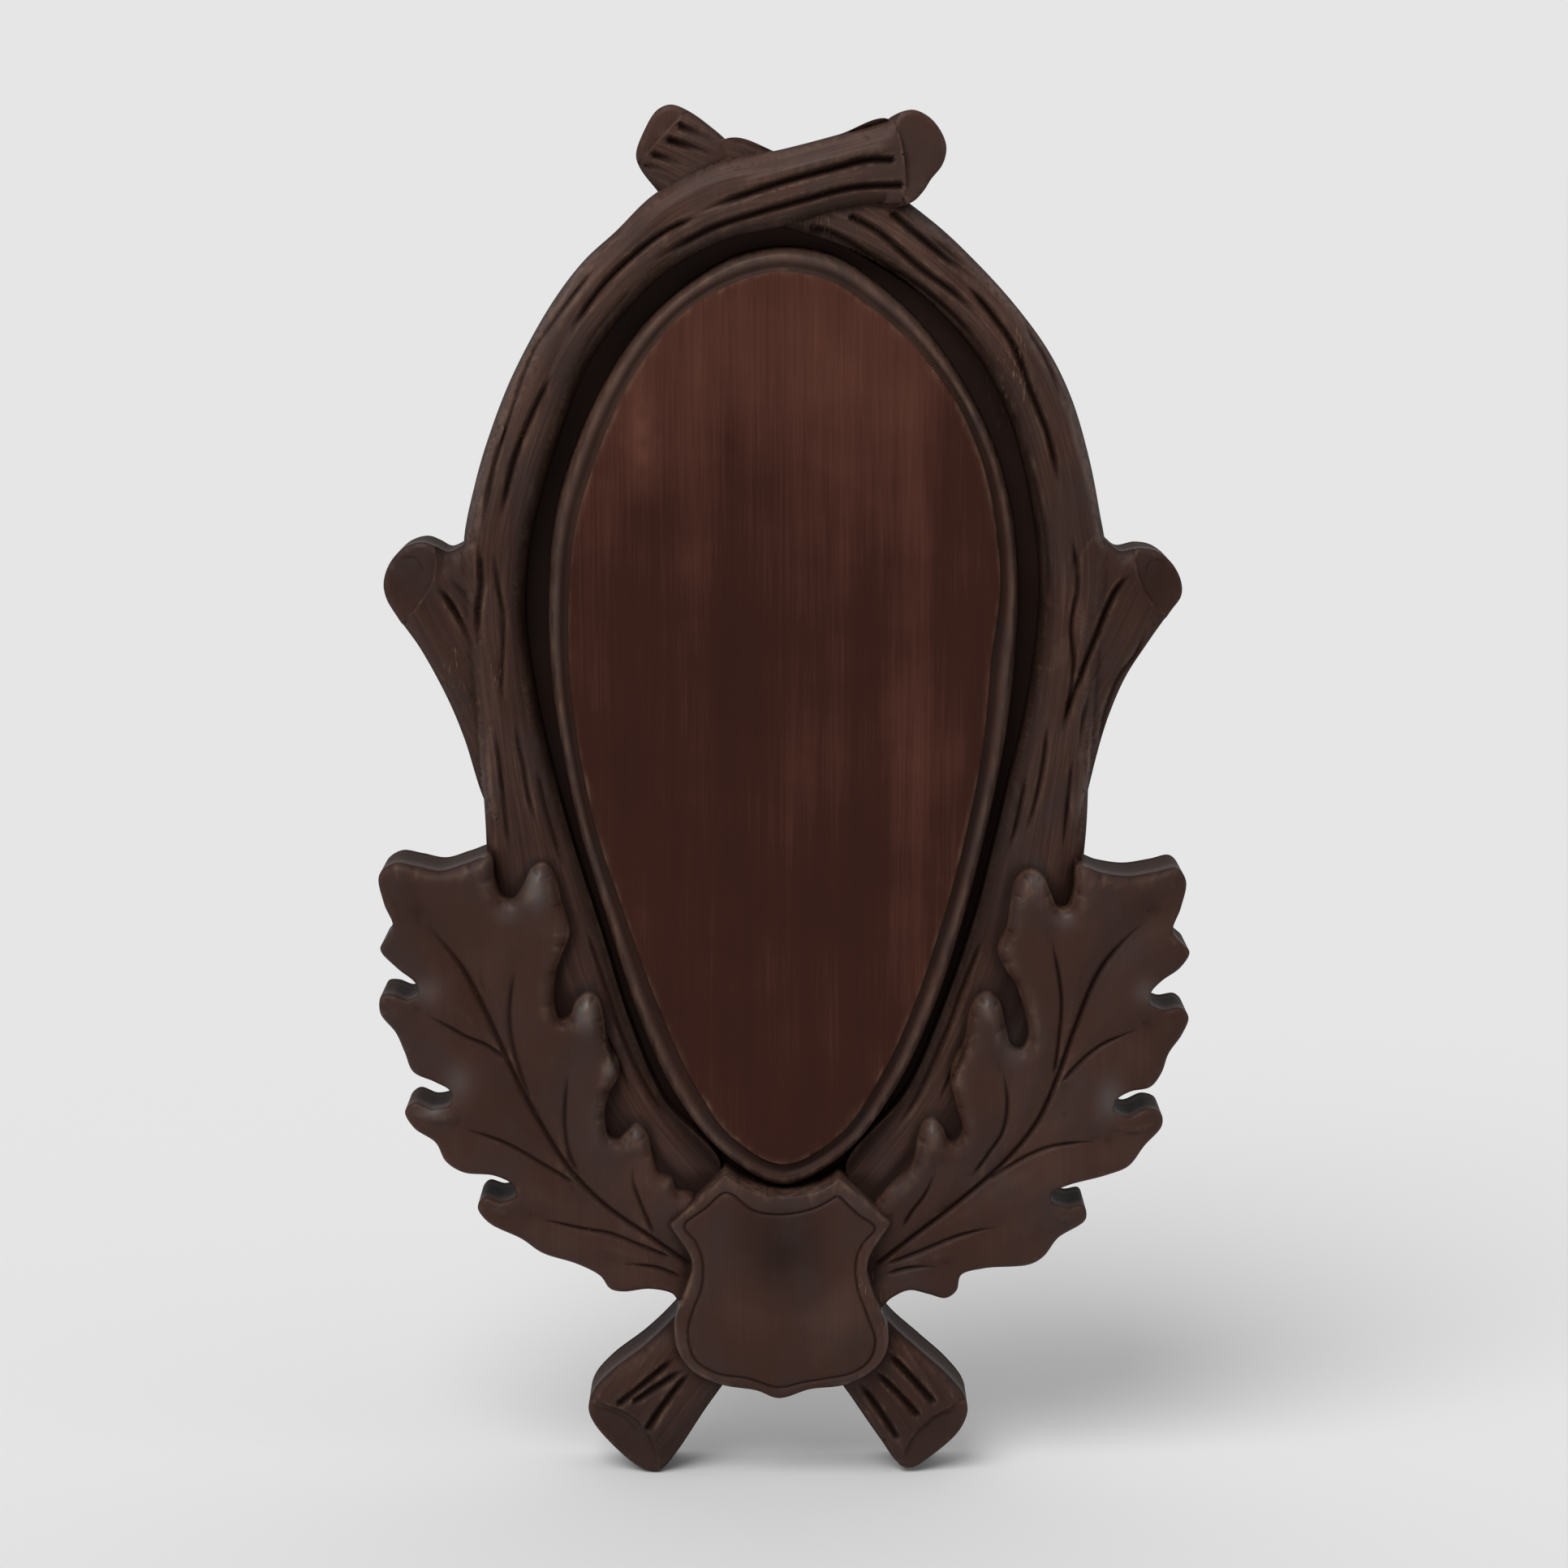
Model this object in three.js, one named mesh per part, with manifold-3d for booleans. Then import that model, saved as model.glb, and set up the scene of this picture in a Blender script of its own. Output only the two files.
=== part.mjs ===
// A carved wooden trophy plaque: two branches cross above and below an egg-shaped field,
// with an oak leaf on each side and a small heraldic shield at the foot.
//
// Lengths are millimetres. The back lies on the plane y = 0 and the carving faces -y. Plan
// points are [x, z], with x to the right and z up, seen from the front, and a height is
// measured forwards from the back. The origin is the middle of the flat back.

import * as THREE from 'three';
import { mergeVertices } from 'three/addons/utils/BufferGeometryUtils.js';
import Module from 'manifold-3d';

const wasm = await Module();
wasm.setup();

// Heights above the back
const GROOVE_FLOOR = 8;
const FIELD_HEIGHT = 17;
const FIELD_STEP = 1;
const BRANCH_EDGE = 10.5;
const BRANCH_INNER_EDGE = 13;
const FRONT_CROWN = 19.5;
const BACK_CROWN = 17;
const LOWER_CROWN = 14;
const STUB_CROWN = 16;
const TOP_RIGHT_CROWN = 18.3;
const LEAF_RIB = 17.5;
const LEAF_OUTER = 13.5;
const LEAF_INNER = 19;
const SHIELD_CROWN = 22;

// Edges, rims and cuts
const LEAF_RIM = 1.1;
const LEAF_MARGIN = 1.5;
const SHIELD_RIM = 0.5;
const SHIELD_MARGIN = 1.2;
const STEP_WIDTH = 0.5;
const GROOVE_CUT = { width: 2.2, depth: 1.5 };
const FINE_CUT = { width: 1.6, depth: 0.9 };
const RIB_CUT = { width: 2.4, depth: 1.5 };
const VEIN_CUT = { width: 1.8, depth: 1.1 };
const BORDER_CUT = { width: 1.6, depth: 0.9 };
const CUT_RISE = 3;
const CUT_END_SHARE = 0.15;

// Sections. The moulding falls from the field to its foot: [share of the way out, height]
const MOULDING_SECTION = [[1, 11.5], [0.85, 13.7], [0.55, 15.3], [0.3, 15.6]];
// A branch rises from its two edges to its crown: [share of the way across, share of the rise]
const BRANCH_SECTION = [
  [0, 0], [0.07, 0.45], [0.2, 0.82], [0.4, 1], [0.62, 0.98], [0.82, 0.75], [0.94, 0.35], [1, 0],
];
// The crown's height along each branch, from the foot to the top: [share of the way, height]
const FRONT_CROWNS = [
  [0, LOWER_CROWN], [0.3, LOWER_CROWN], [0.45, 18], [0.75, FRONT_CROWN], [1, FRONT_CROWN],
];
const BACK_CROWNS = [
  [0, LOWER_CROWN], [0.3, LOWER_CROWN], [0.5, 18], [0.75, BACK_CROWN], [1, 16],
];
// A cut stub's edge is softened: [distance in from the outline, depth below its face]
const STUB_SECTION = [[0, 2.8], [0.4, 1.1], [1.4, 0]];
// A leaf bends at its rib: [distance from the rib, below 0 towards the plaque's edge, height]
const LEAF_SECTION = [
  [-50, LEAF_OUTER - 3], [-32, LEAF_OUTER], [-16, LEAF_RIB - 1], [-7, LEAF_RIB + 0.3],
  [0, LEAF_RIB - 0.5], [6, LEAF_RIB + 0.5], [13, LEAF_INNER], [22, LEAF_INNER - 0.5],
  [40, LEAF_INNER - 2],
];
const LEAF_STATIONS = 11;
const LEAF_FOOT_REACH = 8;
const LEAF_TIP_REACH = 36;
// The shield is domed about its middle: it falls by SHIELD_FALL at SHIELD_HALF to the side
const SHIELD_FALL = 1.6;
const SHIELD_HALF = [24, 35];
const SHIELD_MIDDLE = [0, -112];
const SHIELD_GRID = { reach: [30, 36], steps: [6, 6] };

// The board under the carving: its lowest and highest points, and where it follows the branches
const BOARD_FOOT = [0, -112];
const BOARD_TOP = [0, 128];
const BOARD_PLACES = [0, 0.1, 0.2, 0.3, 0.4, 0.5, 0.6, 0.7, 0.8];

// How finely the curves are followed
const BRANCH_STATIONS = 30;
const FIELD_SIDES = 52;
const CUT_STEP = 12;
const TIGHT_CORNER_SHARE = 0.4;
const STRAIGHT = 1e-6;
const MERGE_DISTANCE = 1e-4;

// The field's edge and the moulding's foot: [z, left, right], from the top down
const FIELD_TOP = 112.2;
const FIELD_BOTTOM = -84.5;
const FIELD_EDGE = [
  [110, 10, 10.5], [104.5, 20, 19], [95.5, 28.5, 29], [84, 35.5, 37.5], [72, 40.5, 42.8],
  [58, 44.8, 46], [44, 46.4, 47], [28, 46.6, 45.2], [10, 44.8, 43.6], [-10, 40.8, 40],
  [-30, 34.2, 34.8], [-50, 27, 28.2], [-66, 19.8, 20.8], [-78, 11.8, 12.4],
];
const MOULDING_TOP = 117.4;
const MOULDING_BOTTOM = -90.8;
const MOULDING_EDGE = [
  [115.5, 10, 10.5], [110, 19.8, 19.6], [101, 30, 29.6], [88.5, 38.6, 38.8], [75, 45, 45.6],
  [60, 49.6, 49.8], [45, 51.2, 51.3], [28, 51.2, 50.8], [10, 49, 48.8], [-10, 44.9, 44.8],
  [-31, 38.8, 39.6], [-52, 32.2, 32.8], [-70, 24, 24.2], [-83, 13.8, 14.2],
];

// The front branch rises on the left and ends at the top right, the back branch mirrors it
const FRONT_OUTER = [
  [-28, -100], [-48, -76], [-60, -48], [-65, -24], [-66, -6], [-67.5, 20], [-69.5, 42],
  [-69.8, 54], [-67.3, 66], [-64.3, 76], [-58.7, 90], [-50, 105.5], [-43, 114.5],
  [-36, 120.8], [-27.5, 128.8], [-15, 135], [0, 138.2], [12, 141.3], [24.5, 145],
];
const FRONT_INNER = [
  [-14, -86.5], [-26.5, -71], [-34, -53.5], [-40.5, -32], [-45.5, -16], [-50, 0], [-54.3, 19],
  [-56.7, 38], [-55.7, 52], [-52.8, 64.5], [-49, 76.5], [-42.5, 92.5], [-33.5, 104.5],
  [-24.5, 112.8], [-12, 119.4], [0, 122], [10, 125], [18, 126.6], [26, 127],
];
const BACK_OUTER = [
  [28, -100], [47, -76], [58.5, -52], [64.5, -30], [66.8, -12], [67.5, 8], [69, 30],
  [70.3, 52], [69, 60], [66.5, 72], [62.5, 85], [57.5, 95], [50.5, 104.5], [42, 113.8],
  [32, 123], [20, 131], [0, 137], [-12, 140.5],
];
const BACK_INNER = [
  [14, -87], [27.5, -69], [36, -49], [42.3, -30], [46.3, -14], [49.5, 0], [53.8, 19],
  [56.2, 40], [55.8, 52], [53, 68], [49, 81.5], [43, 93], [35, 102.7], [26, 110.6],
  [15, 116.8], [4, 120.6], [-10, 124], [-24, 128],
];

// The cut stubs that stand out of the branches
const STUB_OUTLINES = {
  topLeft: [
    [-4, 137], [-10, 139.8], [-16, 143], [-20.5, 146.3], [-24, 147.6], [-27, 146.4],
    [-29.8, 142], [-31.5, 137.3], [-31, 134.8], [-28, 130.6], [-22, 125], [-6, 126],
  ],
  topRight: [
    [18, 143], [24, 144.9], [28, 146.3], [31, 145], [33.7, 141.8], [34.8, 138.5], [34, 135],
    [31.5, 131.8], [29.8, 129.2], [27, 126.8], [20, 126.8], [15.5, 134],
  ],
  leftKnob: [
    [-65, -9], [-67.3, -1], [-70.3, 10], [-74, 20], [-79.3, 30.5], [-84, 37.3], [-86.6, 41.6],
    [-87.2, 45], [-85.8, 49.3], [-82.5, 52.8], [-78.5, 54], [-75.8, 53.1], [-73.2, 51.8],
    [-70.6, 52.8], [-66.5, 55], [-61.5, 48], [-60, 25], [-61, 0],
  ],
  rightKnob: [
    [65.5, -11], [67.3, -2], [69, 6.5], [71.5, 15.5], [75, 24.5], [79.6, 32], [84.3, 38.8],
    [86.7, 42.3], [86.6, 45.5], [84.6, 49.3], [81.2, 52], [77.5, 52.7], [73.2, 52],
    [70.8, 53.8], [67, 56.5], [62, 49], [60.5, 25], [61, 0],
  ],
  lowerLeft: [
    [-18, -112], [-24.5, -120.8], [-31, -127.3], [-39, -133.6], [-43, -138.3], [-44, -142.2],
    [-42.3, -146.4], [-35, -154.2], [-30.5, -156.7], [-27.5, -156.4], [-24.5, -153],
    [-17.5, -142.2], [-12, -134], [-6, -120],
  ],
  lowerRight: [
    [18, -112], [23.3, -121.5], [31, -128.8], [37, -134.3], [40.8, -139.2], [41.6, -142.6],
    [39.6, -147.6], [33, -153.7], [29, -156], [26.2, -155.2], [22, -149.5], [15.5, -139.8],
    [11, -133], [6, -120],
  ],
};

// The oak leaves, outwards round the lobes and back along the branch
const LEFT_LEAF = [
  [-64.6, -15.2], [-70, -16.6], [-75.5, -18.2], [-81, -17.2], [-85.5, -16.6], [-89, -19.2],
  [-88, -25.5], [-86.1, -30.5], [-87.5, -33], [-89, -35.8], [-85.4, -40], [-81.3, -43.4],
  [-80.8, -45.8], [-83.2, -47.2], [-86.6, -46.1], [-89, -46.4], [-89.4, -50.5], [-86, -55],
  [-84.1, -59.5], [-82.3, -63.9], [-77.5, -66], [-74, -68], [-74.2, -71], [-78, -72.3],
  [-82.2, -71], [-84.4, -73.2], [-82.4, -77], [-77.6, -80.2], [-75.4, -84.5], [-71.5, -86.9],
  [-64.5, -87.4], [-60.3, -89.4], [-59.8, -91.8], [-63, -93.4], [-66.8, -92.6], [-68.4, -95],
  [-66, -98.5], [-58.5, -102.2], [-54, -105.3], [-46, -107.8], [-41, -110.5], [-38.8, -113.5],
  [-36, -114.1], [-30, -113.3], [-25, -114.3], [-23, -116.2], [-17, -114], [-15, -100],
  [-20.3, -92], [-23.7, -91], [-25, -88.2], [-28, -87], [-29.5, -82.5], [-30.4, -78],
  [-32.7, -75.9], [-34.6, -77.3], [-36.8, -79.5], [-39, -78.6], [-39.9, -74], [-39, -68.7],
  [-36.9, -64.8], [-36.8, -62], [-39, -57.8], [-39.9, -51.5], [-41.2, -46.9], [-43.4, -46],
  [-45.8, -47.8], [-47.3, -51.2], [-49.5, -52], [-50.8, -48], [-50.5, -41.5], [-48.4, -35.5],
  [-47.2, -32], [-49, -25.5], [-50.8, -18.8], [-53, -16.8], [-55.5, -18.2], [-57.2, -21.7],
  [-59.6, -25], [-62.3, -24.4], [-64, -20],
];
const RIGHT_LEAF = [
  [65, -17.2], [70, -18.6], [76, -19.4], [82, -18.5], [86.5, -17.7], [88.6, -20.5],
  [87.5, -26.5], [85.8, -31.6], [87.4, -34], [89.6, -36.4], [87.6, -40], [83.5, -43],
  [81.2, -45.6], [81.2, -48], [84, -49.6], [88, -49.3], [89.8, -51.5], [88.4, -55.5],
  [85.5, -59.8], [84, -64.2], [81.6, -67.3], [77, -68.2], [73.9, -70], [73.6, -72.2],
  [76.5, -73.9], [81, -72.3], [84, -73.4], [84.4, -76.4], [80.5, -81], [77, -85.6],
  [72, -87.5], [63, -89.7], [59.8, -91.3], [60, -93.2], [63.5, -94.7], [67, -94.4],
  [67.6, -97.8], [61.5, -102], [58.3, -106.4], [55.2, -108.2], [45, -108.8], [39.8, -110.3],
  [38.8, -114], [36.4, -115.7], [32.5, -114.6], [28.2, -113.6], [24.2, -115.4], [21.5, -117.6],
  [16, -113], [15, -100], [22, -92.3], [24.4, -89.5], [27.5, -86.6], [29.3, -84], [30, -79],
  [31.6, -75.2], [33.4, -74.5], [35.4, -76.5], [36.7, -79.5], [38.6, -80], [40, -77.2],
  [38.8, -72], [37.4, -65.5], [38.2, -61.4], [40.3, -57], [41.3, -50.5], [43, -46.9],
  [45.4, -45.8], [47.8, -47.8], [49.2, -53.4], [50.6, -57.8], [52.8, -59], [54.5, -56],
  [53.4, -49.5], [51.2, -43.5], [48.4, -39.2], [47.6, -35.6], [49.5, -31], [50.4, -23.5],
  [52.3, -19.2], [54.8, -18.2], [57.2, -19.8], [58.9, -23.4], [60.5, -26.6], [62.8, -26.8],
  [64.2, -23],
];

// The ribs of the leaves, from the foot to the tip, and the veins that branch off them
const LEFT_RIB = [
  [-20, -108.5], [-30, -101.3], [-40, -94], [-47.5, -86], [-54.5, -74.5], [-60, -63.5],
  [-66.2, -49.3], [-71, -40], [-80, -28.5],
];
const LEFT_VEINS = [
  [[-61.6, -60.5], [-70.7, -55.3], [-80.4, -50.5]],
  [[-47.8, -89.2], [-56.8, -83.7], [-63.8, -79.9], [-72.5, -76]],
  [[-36, -101.5], [-44.3, -99.6], [-56, -96.8]],
  [[-22.5, -111], [-28, -108.5], [-37, -107.2]],
  [[-59, -59.6], [-60.4, -52.4], [-58.6, -38]],
  [[-47.8, -82], [-48.5, -75], [-47.5, -61.5]],
  [[-30.8, -95], [-33.4, -88], [-33, -83.6]],
];
const RIGHT_RIB = [
  [20, -108.5], [29.8, -100.8], [39.7, -92.9], [49.6, -83.9], [56.5, -75], [61, -64.5],
  [64.5, -54], [70.5, -39.7], [81, -28],
];
const RIGHT_VEINS = [
  [[64.6, -61.9], [70.5, -57.8], [79.5, -53.2]],
  [[47, -87.5], [55, -83.1], [61, -79.8], [71, -78.6]],
  [[30, -105], [39.7, -100.6], [49, -98.6]],
  [[22.8, -109.8], [28, -108.4], [35.3, -108]],
  [[61, -56.5], [61.4, -46.4], [58.8, -31.7]],
  [[44.5, -83.5], [48.7, -77.1], [49.7, -70.6], [48.5, -61.5]],
  [[28, -95.5], [31.3, -91.3], [34.2, -84.7]],
];

// The heraldic shield and the line cut round it
const SHIELD = [
  [-13, -86.3], [-8, -89.4], [0, -91], [8, -89.8], [12.6, -87.2], [18.5, -92.3], [23.7, -97],
  [23.4, -99], [19.6, -104.8], [19, -108], [21, -114], [23.4, -120], [23.6, -126], [21, -130.5],
  [14, -134.6], [6, -135.6], [-1, -137.7], [-6, -135.9], [-14, -134.6], [-20.5, -131.2],
  [-23.8, -126], [-24, -119.5], [-22.2, -114], [-20.3, -108.5], [-20.6, -105], [-24.6, -98.2],
  [-19, -92],
];
const SHIELD_BORDER = [
  [12, -90.6], [6.5, -93.2], [0, -94], [-6.5, -93], [-12.3, -89.8], [-17, -94], [-21, -98],
  [-18, -104.5], [-17.6, -108.5], [-20, -115], [-21.2, -122], [-19, -128.5], [-12, -132],
  [-5, -133], [-1, -134.4], [5, -133], [12, -132.2], [18, -129], [20.8, -123], [19, -115],
  [16.6, -108.5], [17.2, -104.5], [20.4, -98], [16.5, -94], [12, -90.6],
];

// The bark grooves of the branches and stubs
const DEEP_GROOVES = [
  [[24, 136], [10, 134], [0, 131.3], [-10, 128], [-19, 124.5]],
  [[-17, 124.6], [-30, 117.2], [-38, 110], [-46, 98.5]],
  [[26, 130.8], [13, 129.9], [0, 126.5], [-14, 122], [-28, 115]],
  [[-49.6, 90.5], [-54, 82], [-58, 72], [-61.5, 58]],
  [[24, 124], [31, 118], [42, 109.4]],
  [[14, 124], [25, 116.8], [34, 109.8], [43.5, 101]],
  [[7, 121], [18, 116], [30, 108.4], [38, 101.5], [44.5, 93]],
  [[40, 109], [47.5, 100], [52, 90], [57, 77.5], [59.8, 66]],
  [[-22.5, 143.4], [-13.5, 139.4]],
  [[-24.8, 140.4], [-13.5, 136.8]],
  [[-28.2, 137.2], [-19.5, 134]],
  [[-26, -128.5], [-31, -134], [-37.5, -139.8]],
  [[-22, -133.5], [-26, -138.5], [-31, -145.5]],
  [[24, -127.5], [28, -133.5], [34.5, -139.5]],
  [[20.5, -132], [25.5, -137.5], [31, -142.5]],
];
const FINE_GROOVES = [
  [[-30.5, 110.8], [-38.5, 102], [-45.5, 90]],
  [[-44, 108.6], [-53.5, 95], [-59, 81], [-63.5, 66], [-65, 56]],
  [[51, 103.5], [56.5, 94], [61, 82]],
  [[52.8, 74], [57, 58], [57.6, 46]],
  [[62.6, 56], [63.8, 45], [62.6, 34], [63, 22]],
  [[-66, 54], [-65.6, 44], [-65, 30]],
  [[-62.3, 52], [-61.4, 36], [-61.6, 18]],
  [[-72.5, 47], [-67.5, 40]],
  [[-76, 45.6], [-72.5, 41], [-69, 34.5]],
  [[75.6, 47.4], [70.6, 40], [66, 30], [62.6, 18]],
  [[77, 33], [73, 25], [70, 14]],
  [[-58.5, 15], [-56.6, 0], [-53.5, -12]],
  [[-63, 12], [-61.8, -4], [-60, -18]],
  [[57.6, 14], [55.5, 0], [52, -14]],
  [[63.6, 10], [62.5, -4], [61.8, -18]],
  [[-29.6, 135], [-23, 132.8]],
  [[17.5, -136.5], [22, -142.5], [26, -148.5]],
];

// Plan curves

/** A smooth curve through plan points. */
function planCurve(points, closed = false) {
  const spots = points.map(([x, z]) => new THREE.Vector3(x, 0, z));
  return new THREE.CatmullRomCurve3(spots, closed, 'centripetal');
}

/** A closed outline, with `perSpan` steps between each two of its points. */
function outlineOf(points, perSpan = 2) {
  const spots = planCurve(points, true).getPoints(points.length * perSpan);
  return spots.slice(0, -1).map((p) => [p.x, p.z]);
}

/** The closed outline of an egg given by rows of height and width to each side. */
function eggOf(top, bottom, rows) {
  const left = rows.map(([z, toLeft]) => [-toLeft, z]);
  const right = rows.map(([z, , toRight]) => [toRight, z]).reverse();
  const round = planCurve([[0, top], ...left, [0, bottom], ...right], true);
  return round.getSpacedPoints(FIELD_SIDES).slice(0, -1).map((p) => [p.x, p.z]);
}

/** The outline moved inwards by `distance`, less at corners too tight to take it. */
function inset(outline, distance) {
  const count = outline.length;
  const spots = outline.map(([x, z]) => new THREE.Vector2(x, z));
  const side = THREE.ShapeUtils.isClockWise(spots) ? -1 : 1;
  return spots.map((spot, i) => {
    const before = spot.clone().sub(spots[(i + count - 1) % count]);
    const after = spots[(i + 1) % count].clone().sub(spot);
    const shortest = Math.min(before.length(), after.length());
    const room = (TIGHT_CORNER_SHARE * shortest) / Math.tan(0.5 * before.angleTo(after) + STRAIGHT);
    const move = Math.sign(distance) * Math.min(Math.abs(distance), room) * side;
    const along = before.normalize().add(after.normalize()).normalize();
    return [spot.x - along.y * move, spot.y + along.x * move];
  });
}

// Closed solids

/** A solid from corners [x, y, z] and triangles, turned right side out. */
function solidOf(corners, faces) {
  const geometry = new THREE.BufferGeometry();
  geometry.setAttribute('position', new THREE.Float32BufferAttribute(corners.flat(), 3));
  geometry.setIndex(faces.flat());
  const merged = mergeVertices(geometry, MERGE_DISTANCE);
  const vertProperties = merged.attributes.position.array;
  const triVerts = Uint32Array.from(merged.index.array);
  const spot = (i) => new THREE.Vector3().fromArray(vertProperties, 3 * i);
  let volume = 0;
  for (let i = 0; i < triVerts.length; i += 3) {
    volume += spot(triVerts[i]).dot(spot(triVerts[i + 1]).cross(spot(triVerts[i + 2])));
  }
  if (volume < 0) {
    for (let i = 0; i < triVerts.length; i += 3) {
      [triVerts[i], triVerts[i + 1]] = [triVerts[i + 1], triVerts[i]];
    }
  }
  return new wasm.Manifold(new wasm.Mesh({ numProp: 3, vertProperties, triVerts }));
}

/** A wall of triangles between rings of equal length, closed or open round the ring. */
function skin(ringCount, ringLength, closed) {
  const faces = [];
  const steps = closed ? ringLength : ringLength - 1;
  for (let row = 0; row + 1 < ringCount; row += 1) {
    for (let i = 0; i < steps; i += 1) {
      const a = row * ringLength + i;
      const b = row * ringLength + ((i + 1) % ringLength);
      faces.push([a, b, a + ringLength], [b, b + ringLength, a + ringLength]);
    }
  }
  return faces;
}

/** A solid that stands on the back, from rings of plan points [x, z] at given heights. */
function stack(rings) {
  const size = rings[0].outline.length;
  const corners = rings.flatMap(({ outline, height }) => outline.map(([x, z]) => [x, -height, z]));
  const flat = ({ outline }) => outline.map(([x, z]) => new THREE.Vector2(x, z));
  const turned = THREE.ShapeUtils.isClockWise(flat(rings[0]));
  const cap = (ring, flip) => THREE.ShapeUtils.triangulateShape(flat(rings[ring]), []).map((face) => {
    const [a, b, c] = face.map((i) => ring * size + i);
    return flip ? [a, c, b] : [a, b, c];
  });
  return solidOf(corners, [
    ...skin(rings.length, size, true),
    ...cap(0, !turned),
    ...cap(rings.length - 1, turned),
  ]);
}

/** A solid that stands on the back, under a grid of rows of [x, z, height]. */
function slab(rows) {
  const across = rows[0].length;
  const top = rows.flat().map(([x, z, height]) => [x, -height, z]);
  const base = rows.flat().map(([x, z]) => [x, 0, z]);
  const shift = top.length;
  const faces = skin(rows.length, across, false);
  const under = faces.map(([a, b, c]) => [a + shift, c + shift, b + shift]);
  const rim = [];
  for (let i = 0; i + 1 < across; i += 1) {
    rim.push([i + 1, i]);
    rim.push([shift - across + i, shift - across + i + 1]);
  }
  for (let row = 0; row + 1 < rows.length; row += 1) {
    rim.push([row * across, (row + 1) * across]);
    rim.push([(row + 2) * across - 1, (row + 1) * across - 1]);
  }
  const sides = rim.flatMap(([a, b]) => [[a, b, a + shift], [b, b + shift, a + shift]]);
  return solidOf([...top, ...base], [...faces, ...under, ...sides]);
}

/** The height of the carving over a plan point, the highest face there. */
function heightOver(mesh, x, z) {
  const spots = mesh.vertProperties;
  let best = 0;
  for (let i = 0; i < mesh.triVerts.length; i += 3) {
    const [a, b, c] = [0, 1, 2].map((k) => 3 * mesh.triVerts[i + k]);
    const [ax, az, bx, bz] = [spots[a], spots[a + 2], spots[b], spots[b + 2]];
    const [cx, cz] = [spots[c], spots[c + 2]];
    const area = (bx - ax) * (cz - az) - (cx - ax) * (bz - az);
    const u = ((bx - x) * (cz - z) - (cx - x) * (bz - z)) / area;
    const v = ((cx - x) * (az - z) - (ax - x) * (cz - z)) / area;
    if (u >= 0 && v >= 0 && u + v <= 1) {
      best = Math.max(best, -(u * spots[a + 1] + v * spots[b + 1] + (1 - u - v) * spots[c + 1]));
    }
  }
  return best;
}

/** The wedge that a gouge takes out along a plan path, tapering at both ends. */
function gouge(mesh, points, { width, depth }) {
  const curve = planCurve(points);
  const count = Math.max(3, Math.round(curve.getLength() / CUT_STEP));
  const rings = curve.getSpacedPoints(count).map((p, i) => {
    const along = curve.getTangentAt(i / count);
    const taper = i === 0 || i === count ? CUT_END_SHARE : 1;
    const height = heightOver(mesh, p.x, p.z);
    const half = (0.5 * width * (depth * taper + CUT_RISE)) / depth;
    const [sideX, sideZ] = [-along.z * half, along.x * half];
    return [
      [p.x, -(height - depth * taper), p.z],
      [p.x + sideX, -(height + CUT_RISE), p.z + sideZ],
      [p.x - sideX, -(height + CUT_RISE), p.z - sideZ],
    ];
  });
  const faces = skin(rings.length, 3, true);
  const last = 3 * (rings.length - 1);
  faces.push([2, 1, 0], [last, last + 1, last + 2]);
  return solidOf(rings.flat(), faces);
}

// The forms of the carving

/** The egg-shaped field: a flat top, a small step and a rounded moulding down to the groove. */
function carveField() {
  const field = eggOf(FIELD_TOP, FIELD_BOTTOM, FIELD_EDGE);
  const foot = eggOf(MOULDING_TOP, MOULDING_BOTTOM, MOULDING_EDGE);
  const outwards = (share) => field.map(([x, z], i) => [
    THREE.MathUtils.lerp(x, foot[i][0], share),
    THREE.MathUtils.lerp(z, foot[i][1], share),
  ]);
  const step = inset(field, -STEP_WIDTH);
  return stack([
    { outline: foot, height: 0 },
    ...MOULDING_SECTION.map(([share, height]) => ({ outline: outwards(share), height })),
    { outline: step, height: FIELD_HEIGHT - 2 * FIELD_STEP },
    { outline: step, height: FIELD_HEIGHT - FIELD_STEP },
    { outline: field, height: FIELD_HEIGHT },
  ]);
}

/** One branch, crowned between its two edges, with the crown's height set along it. */
function carveBranch(outer, inner, crowns) {
  const outerCurve = planCurve(outer);
  const innerCurve = planCurve(inner);
  const rows = [];
  for (let i = 0; i <= BRANCH_STATIONS; i += 1) {
    const along = i / BRANCH_STATIONS;
    const a = outerCurve.getPoint(along);
    const b = innerCurve.getPoint(along);
    const crown = crownAt(crowns, along);
    rows.push(BRANCH_SECTION.map(([across, rise]) => {
      const foot = THREE.MathUtils.lerp(BRANCH_EDGE, BRANCH_INNER_EDGE, across);
      return [
        THREE.MathUtils.lerp(a.x, b.x, across),
        THREE.MathUtils.lerp(a.z, b.z, across),
        foot + (crown - foot) * rise,
      ];
    }));
  }
  return slab(rows);
}

/** The height of a crown that eases between [place, height] stations. */
function crownAt(crowns, along) {
  let height = crowns[0][1];
  for (let i = 0; i + 1 < crowns.length; i += 1) {
    const [from, low] = crowns[i];
    const [to, high] = crowns[i + 1];
    if (along >= from) {
      height = THREE.MathUtils.lerp(low, high, THREE.MathUtils.smoothstep(along, from, to));
    }
  }
  return height;
}

/** A cut stub: an outline with a softened rim, at its own height. */
function carveStub(outline, height) {
  const edge = outlineOf(outline);
  return stack([
    { outline: edge, height: 0 },
    ...STUB_SECTION.map(([within, below]) => ({
      outline: inset(edge, within),
      height: height - below,
    })),
  ]);
}

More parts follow.
